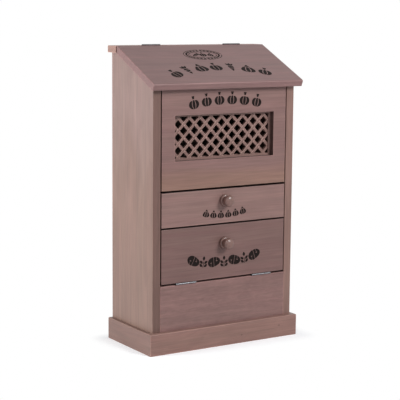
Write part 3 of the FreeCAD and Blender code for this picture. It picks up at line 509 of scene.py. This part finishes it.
# The grain's seed is a board's place in the two tables; other pieces have seeds from 40 on.
# Boards that show: direction of the grain, tone of the stain, and what differs from the rest.
BOARDS = {
    # sides is painted shade on the fronts' faces in the gaps and on the window's reveals.
    "onion_front_panel": (
        0, "7a5d59", {"fade": ("806257", 2, 405, 362), "sides": 0.3, "window": WINDOW}),
    "drawer_front": (0, "81645f", {"sides": 0.3}),
    "bin_front": (0, "6f5450", {"sides": 0.3}),
    "lower_front_panel": (0, "7d5f5b", {"curl": 0.09}),
    "plinth_front": (0, "86665e", {"knots": KNOTS}),
    "plinth_left": (1, "7a5f57", {}),
    "plinth_right": (1, "7e635b", {}),
    "left_side_board": (2, "876f69", {"fade": ("83695f", 2, 560, 300), "front": "6c514a"}),
    "right_side_board": (2, "7f625a", {}),
    "lid_board": (0, "7d5f5d", {"tilt": (-LID_SLOPE, 0, 0)}),
    "rear_rail": (0, "9c7d74", {"sheen": 0.12}),
    # The back panel's front, its inward face, is near black: a dark stain deepened as painted shade
    # inside the cabinet.
    "back_panel": (2, "7a635a", {"front": "2e2420", "wear_and_highlight": 0.4, "sheen": 0.1}),
    "lattice_rising_strips": (0, "795d57", {"tilt": (0, LEAN, 0)}),
    "lattice_falling_strips": (0, "795d57", {"tilt": (0, -LEAN, 0)}),
    "lattice_beads": (0, "7d615b", {}),
}

# Boards inside, which got the stain and no lacquer: direction of the grain and tone. The shelves,
# the cleats and the bottom board are near black: a dark stain deepened as painted shade, so that
# the gaps and the window show the shade inside.
SHELF_STAIN_AND_SHADE = "1f1612"  # near-black tone of the shelves and cleats: dark stain and painted shade
BOX = "6b554e"  # tone of the drawer's and the bin's boxes
INNER_BOARDS = {
    "onion_shelf": (0, SHELF_STAIN_AND_SHADE), "drawer_shelf": (0, SHELF_STAIN_AND_SHADE), "bottom_board": (0, "33271f"),
    "left_panel_cleat": (2, SHELF_STAIN_AND_SHADE), "right_panel_cleat": (2, SHELF_STAIN_AND_SHADE),
    "drawer_bottom": (0, BOX), "drawer_back": (0, BOX), "drawer_left_side": (1, BOX),
    "drawer_right_side": (1, BOX), "bin_floor": (0, BOX), "bin_back": (0, BOX),
    "bin_inner_board": (0, "4a3a34"), "bin_left_cheek": (2, BOX), "bin_right_cheek": (2, BOX),
}


def give(node, material):
    """Makes a material the only one on a node of the frame."""
    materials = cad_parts[node].data.materials
    materials.clear()
    materials.append(material)


def cover_bead():
    """A bead round the inside of the window, over the ends of the lattice strips.

    Its section, given as inset from the window's edge and depth from the panel's back
    forwards, goes round four mitred corners and joins up with itself."""
    section = np.array([(0, 0), (0, 2.6), (3.6, 2.6), (4.6, 1.6), (4.6, 0)])
    inset, y = section[:, 0] * MM, (PANEL_BACK - section[:, 1]) * MM
    middle, half = np.array(WINDOW)
    corners = np.array([(-1, -1), (1, -1), (1, 1), (-1, 1)])[:, None, :]
    x = corners[..., 0] * (half[0] - inset)
    z = middle[2] + corners[..., 1] * (half[2] - inset)
    points = np.stack([x, np.broadcast_to(y, x.shape), z], axis=-1).reshape(-1, 3)
    count = len(section)
    start, step = np.repeat(np.arange(4), count), np.tile(np.arange(count), 4)
    after, above = (start + 1) % 4, (step + 1) % count
    quads = [start * count + step, start * count + above,
             after * count + above, after * count + step]
    return points, np.stack(quads, axis=1).tolist()


class CABINET_OT_boards(bpy.types.Operator):
    """Stains every board, each with its own cut of the grain"""

    bl_idname = "cabinet.boards"
    bl_label = "Stain the boards"

    def execute(self, context):
        seed = 0
        for node, (grain, tone, more) in BOARDS.items():
            seed += 1
            box = board_box(node, more.get("tilt", (0, 0, 0)))
            give(node, stained_pine(f"stained_pine_{node}", box, grain, seed, tone, **more))
        for node, (grain, tone) in INNER_BOARDS.items():
            seed += 1
            give(node, stained_pine(f"stained_pine_{node}", board_box(node), grain, seed, tone,
                                    wear_and_highlight=0.4, sheen=0.1))
        for node in ("lattice_rising_strips", "lattice_falling_strips"):
            self.ease_strips(node, BOARDS[node][2]["tilt"])
        wood = stained_pine("stained_pine_cover_bead", board_box("lattice_beads"), 0, 61, "7d615b")
        make_piece("window_cover_bead", *cover_bead(), wood, "cabinet", "stained_wood",
                   smooth=False)
        return {"FINISHED"}

    @staticmethod
    def ease_strips(node, tilt):
        """Rounds the edges of lattice strips and gives the rounds a lighter wood: rubbed wear, and
        a painted highlight where the edges catch the light.
        """
        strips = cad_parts[node]
        # The lighter tone on the rounds is partly rubbed wear, partly a painted highlight.
        strips.data.materials.append(stained_pine(
            f"rubbed_pine_{node}", board_box(node, tilt), 0, 60, "ab8a80", tilt=tilt, wear_and_highlight=0))
        weld = strips.modifiers.new("weld", "WELD")
        weld.merge_threshold = 0.01 * MM
        bevel = strips.modifiers.new("eased_edges", "BEVEL")
        bevel.width = 0.7 * MM
        bevel.segments = 2
        bevel.limit_method = "ANGLE"
        bevel.angle_limit = math.radians(40)
        bevel.material = 1


# ---------------------------------------------------------------- knobs


def knob_profile():
    """Radius and height from the back of the foot to the crown, in metres.

    A foot with a full rounded rim, a cove up to the neck, and a head whose section is an oval
    drawn a little towards a rectangle: its cosine and sine are raised to the power 0.8.  It
    starts at the angle where it is as wide as the neck."""
    knob = settings().knob
    foot, head, neck = (r / MM for r in (knob.foot_radius, knob.head_radius, knob.neck_radius))
    rim, cove = 3, 1.9  # radii in mm
    half, middle, reach = 8.2, 16.8, 25  # the head's half length and middle, and the crown, in mm
    power = 0.8
    low = -math.degrees(math.acos((neck / head) ** (1 / power)))
    oval = arc((0, 0), 1, low, 89, 30)
    oval = np.sign(oval) * np.abs(oval) ** power * (head, half) + (0, middle)
    parts = [
        [(0, 0)],
        arc((foot - rim, rim), rim, -90, 0, 9),
        arc((foot - rim, 4.6), rim, 4, 84, 10),
        arc((neck + cove, 9.6), cove, -95, -180, 8),
        oval,
        [(0, reach)],
    ]
    return np.concatenate([np.asarray(part, float) for part in parts]) * MM


class CABINET_OT_knobs(bpy.types.Operator):
    """Turns the two knobs, which stand for the plain ones of the frame"""

    bl_idname = "cabinet.knobs"
    bl_label = "Turn the knobs"

    def execute(self, context):
        points, faces = turned(knob_profile())
        for body, seed in (("drawer", 40), ("bin", 41)):
            low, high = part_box(f"{body}_knob")
            foot = ((low.x + high.x) / 2, high.y, (low.z + high.z) / 2)
            # A box of two metres has its edges far away, so no edge of a knob gets the lighter rim
            # of rubbed wear and painted highlight.
            box = (foot, (1, 1, 1))
            wood = stained_pine(f"turned_pine_{body}", box, 1, seed, "70514a", coat=0.55)
            piece = make_piece(f"{body}_knob_turned", stood(points, foot, (0, -1, 0)), faces, wood,
                               body, "turned_wood")
            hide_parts(f"{body}_knob")
        return {"FINISHED"}


# ---------------------------------------------------------------- stencils


def lobe(half_width, low, high, inner, outer, side, rows=22, columns=4):
    """A patch of a motif of height 1, between two shares of its half width, on one side.

    half_width is a function of the height; the patch runs from low to high."""
    t = np.linspace(low, high, rows)[:, None]
    share = np.linspace(inner, outer, columns)[None, :]
    if side < 0:
        share = share[:, ::-1]
    x = side * half_width(t) * share
    return np.stack([x, t + 0 * share], axis=-1)


def onion():
    """A round bulb with a short neck: three slices parted by the bridges of the stencil.

    The bulb's half width is that of an oval, and the neck widens in a straight line."""
    def half(t):
        bulb = np.sqrt(np.clip(1 - ((t - 0.36) / 0.36) ** 2, 0, 1)) * 0.45
        neck = 0.06 + 0.07 * np.clip((t - 0.74) / 0.26, 0, 1)
        return np.where(t < 0.7, np.maximum(bulb, 0.08), neck)
    return [
        lobe(half, 0.02, 0.66, 0.4, 1.0, 1), lobe(half, 0.02, 0.66, 0.4, 1.0, -1),
        lobe(half, 0.01, 0.7, -0.27, 0.27, 1), lobe(half, 0.77, 1.0, -1.0, 1.0, 1, 8),
    ]


def garlic():
    """A broad bulb of three cloves that draws in to a long thin neck.

    Its half width is a sine of the height, with the sine's peak moved down by a power."""
    def half(t):
        return 0.5 * np.sin(np.pi * np.clip(t, 0, 1) ** 0.62) ** 0.9 * (1 - t) ** 0.25 + 0.035
    return [
        lobe(half, 0.02, 0.68, 0.42, 1.0, 1), lobe(half, 0.02, 0.68, 0.42, 1.0, -1),
        lobe(half, 0.0, 0.68, -0.27, 0.27, 1), lobe(half, 0.75, 1.0, -0.9, 0.9, 1, 8),
    ]


def potato(lean):
    """A lumpy oval in two halves, each round an eye that a slim bridge holds.

    Radii run from the rim of the eye to the oval or to the middle gap, whichever is nearer;
    then all points move out or in by two slow waves round the oval's middle."""
    wide, high = 0.62, 0.44
    half_gap, half_bridge, eye_width = 0.018, 0.014, 0.075
    patches = []
    for side in (-1, 1):
        eye = np.array([side * 0.28, side * 0.06])
        out = np.linspace(0, 1, 5)[None, :]
        bridge = np.arcsin(np.clip(half_bridge / (0.06 + 0.3 * out), 0, 1))
        turn = np.linspace(0, 1, 56)[:, None]
        angle = side * math.pi / 2 + bridge + (2 * math.pi - 2 * bridge) * turn
        c, s = np.cos(angle), np.sin(angle)
        a = (c / wide) ** 2 + (s / high) ** 2
        b = eye[0] * c / wide ** 2 + eye[1] * s / high ** 2
        k = (eye[0] / wide) ** 2 + (eye[1] / high) ** 2 - 1
        oval = (np.sqrt(b * b - a * k) - b) / a
        inward = np.maximum(-side * c, 1e-3)
        reach = np.minimum(oval, (abs(eye[0]) - half_gap) / inward)
        slit = eye_width / np.sqrt(1 + 4 * s ** 2)
        x = eye[0] + (slit + (reach - slit) * out) * c
        z = eye[1] + (slit + (reach - slit) * out) * s
        around = np.arctan2(z, x)
        lumps = 1 + 0.05 * np.sin(2 * around + 1 + 3 * lean) + 0.03 * np.cos(3 * around)
        patch = np.stack([x * lumps, z * lumps], axis=-1) @ turning(math.degrees(lean))
        patches.append(patch + (0, 0.5))
    return patches


def leaf(length, width, at, turn_degrees):
    """A pointed leaf, its half width a sine along it, turned and moved."""
    def half(t):
        return width / (2 * length) * np.sin(np.pi * t)
    patch = lobe(half, 0.02, 0.98, -1.0, 1.0, 1, 12, 3) * length
    return patch @ turning(turn_degrees) + at


def turning(degrees):
    """Turns points given as rows clockwise."""
    angle = math.radians(degrees)
    return np.array([[math.cos(angle), -math.sin(angle)], [math.sin(angle), math.cos(angle)]])


def carrot():
    """A tapering root in three slices, with three leaves over it.

    The root widens with the power 0.8 of the height, and rounds off at its shoulder."""
    def half(t):
        shoulder = np.sqrt(np.clip(1 - (t / 0.68) ** 10, 0, 1))
        return 0.03 + 0.2 * np.clip(t / 0.62, 0, 1) ** 0.8 * shoulder
    slices = ((0, 0.22), (0.27, 0.46), (0.51, 0.67))
    root = [lobe(half, low, high, -1.0, 1.0, 1, 8) for low, high in slices]
    return root + [leaf(0.34, 0.16, (side * 0.05, 0.7), side * 38) for side in (-1, 0, 1)]


def sprig():
    """A leaf at the tip and two pairs below it, parted from the stem by bridges."""
    stem = lobe(lambda t: 0.03 + 0 * t, 0.0, 0.52, -1.0, 1.0, 1, 3, 2)
    pairs = [
        leaf(0.42, 0.24, (side * 0.07, base), side * 52)
        for side in (-1, 1) for base in (0.06, 0.34)
    ]
    return [stem, leaf(0.4, 0.26, (0, 0.6), 0), *pairs]


def ring_patch(radii, thick, begin, end):
    """Part of an oval ring: half axes shrunk by up to thick, from one angle to another."""
    angle = np.radians(np.linspace(begin, end, 26))[:, None]
    inward = np.linspace(0, thick, 3)[None, :]
    wide, high = radii
    return np.stack([(wide - inward) * np.cos(angle), (high - inward) * np.sin(angle)], axis=-1)


def scaled(motif, size, turn_degrees, at):
    """A motif of height 1 at its real size, turned about its middle and moved."""
    return [((patch - (0, 0.5)) * size) @ turning(turn_degrees) + at for patch in motif]


def oval_badge():
    """A wreath of leaves between two broken oval rings, and three vegetables; in millimetres."""
    patches = [
        ring_patch(radii, 1.6, begin + 3, begin + 87)
        for radii in ((49, 23.5), (36, 14.5)) for begin in (0, 90, 180, 270)
    ]
    wide, high, leaves = 41.5, 18.4, 28
    for step in range(leaves):
        angle = 2 * math.pi * (step + 0.5) / leaves
        at = np.array([wide * math.cos(angle), high * math.sin(angle)])
        heading = math.atan2(-wide * math.sin(angle), high * math.cos(angle))
        ahead = np.array([math.sin(heading), math.cos(heading)])
        patches.append(leaf(8, 4.4, at - 3.6 * ahead, math.degrees(heading)))
    patches += scaled(onion(), 19, 0, (0, 1))
    patches += scaled(carrot(), 21, 62, (-18, 0)) + scaled(garlic(), 15, 12, (19, 0))
    return patches


class Face:
    """A flat face to paint on: a point of it, and its directions across, up and outwards."""

    def __init__(self, origin, up):
        self.origin = np.array(origin, float)
        self.up = np.array(up, float)
        self.across = np.array([1.0, 0.0, 0.0])
        self.out = np.cross(self.across, self.up)

    def lay(self, patches):
        """Moves patches, in millimetres across and up, onto the face as thin films of paint."""
        film = settings().stencil.film
        points, faces, count = [], [], 0
        for patch in patches:
            patch = patch * MM
            grid = self.origin + patch[..., 0:1] * self.across + patch[..., 1:2] * self.up
            if self.faces_in(patch):
                grid = grid[:, ::-1]
            more, quads = slab(grid, self.out, film, 0.02 * MM, count)
            points.append(more)
            faces.append(quads)
            count += len(more)
        return np.concatenate(points), np.concatenate(faces).tolist()

    @staticmethod
    def faces_in(patch):
        """Whether a patch's quads run clockwise, as seen on the face."""
        row = patch[1:, :-1] - patch[:-1, :-1]
        column = patch[:-1, 1:] - patch[:-1, :-1]
        area = column[..., 0] * row[..., 1] - column[..., 1] * row[..., 0]
        return area.sum() < 0


def along_arc(motifs, height, spacing, radius, middle):
    """Sets motifs side by side on an arc whose middle is that high up; all in millimetres.

    A positive radius crowns the row and a negative one makes it hang; each motif stands
    square to the arc."""
    patches = []
    for number, motif in enumerate(motifs):
        angle = (number - (len(motifs) - 1) / 2) * spacing / radius
        at = (radius * math.sin(angle), middle + radius * (math.cos(angle) - 1))
        patches += scaled(motif, height, math.degrees(angle), at)
    return patches


# Rows of motifs: the body they are on, and in mm a motif's height, the spacing, the arc's radius
# and how high up the face its middle is.
ROWS = {
    "lid": ("lid", 34, 39.5, 263, 71.5),
    "panel": ("cabinet", 28, 32.5, 440, 541.5),
    "drawer": ("drawer", 17, 19, -234, 290.3),
    "bin": ("bin", 25, 26.5, -410, 186.2),
}
BADGE_MIDDLE = (0.5, 128)  # across and up the lid, in mm


class CABINET_OT_stencils(bpy.types.Operator):
    """Paints the rows of vegetables and leaves through their stencils"""

    bl_idname = "cabinet.stencils"
    bl_label = "Paint the stencils"

    def execute(self, context):
        counts = settings().stencil
        front_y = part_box("onion_front_panel")[0].y
        lid_low, lid_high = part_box("lid_board")
        slope = math.radians(LID_SLOPE)
        # The two upper faces of the lid's front edge meet 1.3 mm ahead of its rounding.
        edge_y = lid_low.y - 1.3 * MM
        lid_edge = (0, edge_y, lid_high.z - (lid_high.y - edge_y) * math.tan(slope))
        front = Face((0, front_y, 0), (0, 0, 1))
        lid = Face(lid_edge, (0, math.cos(slope), math.sin(slope)))
        motifs = {
            "lid": [(onion(), carrot(), garlic())[number % 3] for number in range(counts.mixed)],
            "panel": [onion()] * counts.onions,
            "drawer": [garlic()] * counts.bulbs,
            "bin": [sprig() if number % 2 else potato(0.25 - 0.2 * (number % 4))
                    for number in range(counts.tubers)],
        }
        for name, (body, *row) in ROWS.items():
            patches = along_arc(motifs[name], *row)
            if name == "lid":
                patches += [patch + BADGE_MIDDLE for patch in oval_badge()]
            points, faces = (lid if name == "lid" else front).lay(patches)
            make_piece(f"{name}_stencil", points, faces, stencil_paint(f"stencil_paint_{name}"),
                       body, smooth=False)
        return {"FINISHED"}


# ---------------------------------------------------------------- steel


# Hinges by the body they carry: finish, tone, roughness and how far the drawn lines swing it.
HINGES = {
    "bin": ("zinc_plated_steel", "7e7e82", 0.36, 0.16),
    # The lid's hinges are the same steel as the bin's with a darker tone: painted shade, for the
    # shade they lie in at the back of the lid.
    "lid": ("dark_steel", "4a4648", 0.4, 0.2),
}
LEAF_FACE = 0.9 * MM  # from the pin's middle to the inner face of a leaf
BARREL = 2.15 * MM  # from the pin's middle to where a leaf begins
SCREW_OFFSET = 17 * MM  # from the middle of a leaf to each of its two screws


def screw_head(radius, rise):
    """A flat dome with a cross in it, about the z axis, sunk a little into what is below.

    The dome falls with the fourth power of the radius.  The cross is the greater of two
    crossing ridges, each a bell across and flat along, and is taken off the height."""
    share = np.linspace(1, 0, 12)[:-1]
    dome = np.stack([radius * share, rise * (1 - 0.6 * share ** 4)], axis=1)
    profile = np.concatenate([[(0, -0.1 * MM), (radius, -0.1 * MM)], dome, [(0, rise)]])
    points, faces = turned(profile, 32)
    x, y = points[:, 0] / radius, points[:, 1] / radius
    ridges = [np.exp(-(a / 0.16) ** 2) * np.clip((0.62 - abs(b)) / 0.12, 0, 1)
              for a, b in ((x, y), (y, x))]
    points[:, 2] -= np.where(points[:, 2] > 0, 0.8 * rise * np.maximum(*ridges), 0)
    return points, faces


def leaf_middle(node, pin_node, level, way):
    """Middle of the inner face of a hinge leaf, on which its screws' heads lie.

    A level leaf reaches back from its pin and an upright one down; way, 1 or -1, is where the
    face looks, along z or along y."""
    low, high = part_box(node)
    pin_low, pin_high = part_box(pin_node)
    pin = (pin_low + pin_high) / 2
    if level:
        return np.array([pin.x, (pin.y + BARREL + high.y) / 2, pin.z - way * LEAF_FACE])
    return np.array([pin.x, pin.y - way * LEAF_FACE, (pin.z - BARREL + low.z) / 2])


class CABINET_OT_hinges(bpy.types.Operator):
    """Finishes the hinges, knob screws and nails in steel, and adds the hinges' screw heads"""

    bl_idname = "cabinet.hinges"
    bl_label = "Finish the steel"

    def execute(self, context):
        screw = settings().screw
        head, quads = screw_head(screw.head_radius, screw.rise)
        for name, (slot, code, roughness, scratch) in HINGES.items():
            steel = sheet_steel(slot, code, roughness, scratch)
            level = name == "bin"
            for leaf_kind, body in (("fixed", "cabinet"), ("moving", name)):
                way = 1 if level == (leaf_kind == "fixed") else -1
                out = (0, 0, way) if level else (0, way, 0)
                points, faces, count = [], [], 0
                for side in ("left", "right"):
                    node = f"{name}_hinge_{side}_{leaf_kind}_leaf"
                    pin_node = f"{name}_hinge_{side}_pin"
                    give(node, steel)
                    give(pin_node, steel)
                    middle = leaf_middle(node, pin_node, level, way)
                    for end in (-1, 1):
                        points.append(stood(head, middle + (end * SCREW_OFFSET, 0, 0), out))
                        faces += [[index + count for index in quad] for quad in quads]
                        count += len(head)
                heads = make_piece(f"{name}_{leaf_kind}_leaf_screws", np.concatenate(points), faces,
                                   steel, body, slot)
                heads.data.shade_flat()
        bright = sheet_steel("bright_steel", "b4b4b6", 0.35, 0.2)
        for node in ("drawer_knob_screw", "bin_knob_screw", "back_nails"):
            give(node, bright)
        return {"FINISHED"}


# ---------------------------------------------------------------- stage


AIM = (0, 0, 0.35)  # what the lamps look at, in metres
# Lamps: place and width of the round screen, in metres.
LAMPS = {
    "side": ((-2.2, 0.65, 0.8), 0.9),
    "front": ((1.0, -2.5, 1.9), 1.2),
    "corner": ((-1.7, -1.9, 1.6), 0.35),
}
# Half sizes of the cabinet's foot, and how far past it the floor is plain white, in metres.
FOOT = (0.19, 0.094, 1)
SHADOW_REACH = 0.05
# The camera: place in metres, angles in degrees, lens in mm.
CAMERA_PLACE = (-1.5126, -2.3634, 0.7360)
CAMERA_YAW = 32.358
CAMERA_PITCH = -8.6176
CAMERA_ROLL = 0.484
CAMERA_LENS = 115.34
WHITE = (1, 1, 1, 1)


def lamp(name, place, size, power):
    """A round lamp, looking at the middle of the cabinet."""
    data = bpy.data.lights.new(name, "AREA")
    data.shape = "DISK"
    data.size = size
    data.energy = power
    thing = bpy.data.objects.new(name, data)
    bpy.context.scene.collection.objects.link(thing)
    away = np.array(place, float) - np.array(AIM, float)
    thing.location = place
    thing.rotation_mode = "QUATERNION"
    thing.rotation_quaternion = Vector(away).to_track_quat("Z", "Y")


def seen(tree):
    """1 for rays from the camera and those that gloss or glass sends on, and 0 for light."""
    rays = add(tree, "ShaderNodeLightPath").outputs
    share = rays["Is Camera Ray"]
    for ray in ("Is Glossy Ray", "Is Transmission Ray"):
        share = add(tree, "ShaderNodeMath", {0: share, 1: rays[ray]}, operation="MAXIMUM")
    return share


def pale_room(strength):
    """Even light from all around; the camera and what is glossy or clear see plain white."""
    world = bpy.data.worlds.new("pale_room")
    bpy.context.scene.world = world
    world.use_nodes = True
    tree = world.node_tree
    tree.nodes.clear()
    light = add(tree, "ShaderNodeBackground", {"Color": WHITE, "Strength": strength})
    white = add(tree, "ShaderNodeBackground", {"Color": WHITE, "Strength": 1.0})
    mix = add(tree, "ShaderNodeMixShader", {0: seen(tree), 1: light, 2: white})
    add(tree, "ShaderNodeOutputWorld", {"Surface": mix})


def floor_material():
    """Matt white board: the shadow close to the cabinet shows, and plain white beyond it."""
    material, tree = new_material("pale_floor")
    place = add(tree, "ShaderNodeTexCoord").outputs["Object"]
    side = add(tree, "ShaderNodeVectorMath", {0: place}, operation="ABSOLUTE")
    side = add(tree, "ShaderNodeVectorMath", {0: side, 1: FOOT}, operation="SUBTRACT")
    side = add(tree, "ShaderNodeVectorMath", {0: side, 1: (0, 0, 0)}, operation="MAXIMUM")
    away = add(tree, "ShaderNodeVectorMath", {0: side}, operation="LENGTH").outputs["Value"]
    limits = {"Value": away, "From Min": 0.0, "From Max": SHADOW_REACH}
    far = add(tree, "ShaderNodeMapRange", limits, interpolation_type="SMOOTHSTEP")
    shown = seen(tree)
    board = add(tree, "ShaderNodeBsdfDiffuse", {"Color": (*linear("eef1f5"), 1)})
    # Part of the white is the board's own, so that the shadow on it stays light.
    glow = add(tree, "ShaderNodeMath", {0: shown, 1: 0.3}, operation="MULTIPLY")
    glow = add(tree, "ShaderNodeEmission", {"Color": WHITE, "Strength": glow})
    lit = add(tree, "ShaderNodeAddShader", {0: board, 1: glow})
    white = add(tree, "ShaderNodeEmission", {"Color": WHITE, "Strength": 1.0})
    share = add(tree, "ShaderNodeMath", {0: far, 1: shown}, operation="MULTIPLY")
    mix = add(tree, "ShaderNodeMixShader", {0: share, 1: lit, 2: white})
    add(tree, "ShaderNodeOutputMaterial", {"Surface": mix})
    return material


class CABINET_OT_stage(bpy.types.Operator):
    """Sets up the floor, the lamps, the room and the camera"""

    bl_idname = "cabinet.stage"
    bl_label = "Set the stage"

    def execute(self, context):
        scene = context.scene
        mesh = bpy.data.meshes.new("floor")
        reach = 20
        corners = [(-reach, -reach, 0), (reach, -reach, 0), (reach, reach, 0), (-reach, reach, 0)]
        mesh.from_pydata(corners, [], [(0, 1, 2, 3)])
        mesh.materials.append(floor_material())
        floor = bpy.data.objects.new("floor", mesh)
        scene.collection.objects.link(floor)

        stage = settings().stage
        for name, (place, size) in LAMPS.items():
            lamp(f"{name}_lamp", place, size, getattr(stage, name))
        pale_room(stage.sky)

        data = bpy.data.cameras.new("camera")
        camera = bpy.data.objects.new("camera", data)
        scene.collection.objects.link(camera)
        scene.camera = camera
        data.sensor_width = 36
        data.lens = CAMERA_LENS
        data.clip_start = 0.05
        camera.location = CAMERA_PLACE
        turn = Matrix.Rotation(math.radians(-CAMERA_YAW), 4, "Z")
        tip = Matrix.Rotation(math.radians(90 + CAMERA_PITCH), 4, "X")
        roll = Matrix.Rotation(math.radians(CAMERA_ROLL), 4, "Z")
        camera.rotation_mode = "QUATERNION"
        camera.rotation_quaternion = (turn @ tip @ roll).to_quaternion()
        scene.view_settings.view_transform = "Standard"
        return {"FINISHED"}


# ---------------------------------------------------------------- add-on


STEPS = (
    CABINET_OT_boards, CABINET_OT_knobs, CABINET_OT_stencils, CABINET_OT_hinges,
    CABINET_OT_stage,
)


class CABINET_PT_panel(bpy.types.Panel):
    """Lists the steps and the settings"""

    bl_idname = "CABINET_PT_panel"
    bl_label = "Vegetable cabinet"
    bl_space_type = "VIEW_3D"
    bl_region_type = "UI"
    bl_category = "Cabinet"

    def draw(self, context):
        cabinet = context.scene.cabinet
        for step in STEPS:
            self.layout.operator(step.bl_idname)
        for group in (cabinet.stain, cabinet.knob, cabinet.stencil, cabinet.screw, cabinet.stage):
            box = self.layout.box()
            for name in group.__annotations__:
                box.prop(group, name)


CLASSES = (
    StainSettings, KnobSettings, StencilSettings, ScrewSettings, StageSettings, CabinetSettings,
    *STEPS, CABINET_PT_panel,
)


def register():
    """Adds the classes and the cabinet's settings."""
    for kind in CLASSES:
        bpy.utils.register_class(kind)
    bpy.types.Scene.cabinet = PointerProperty(type=CabinetSettings)


def unregister():
    """Takes away what register added."""
    del bpy.types.Scene.cabinet
    for kind in reversed(CLASSES):
        bpy.utils.unregister_class(kind)


def main():
    """Builds the cabinet's looks in order."""
    register()
    bpy.ops.cabinet.boards()
    bpy.ops.cabinet.knobs()
    bpy.ops.cabinet.stencils()
    bpy.ops.cabinet.hinges()
    bpy.ops.cabinet.stage()


if __name__ == "__main__":
    main()
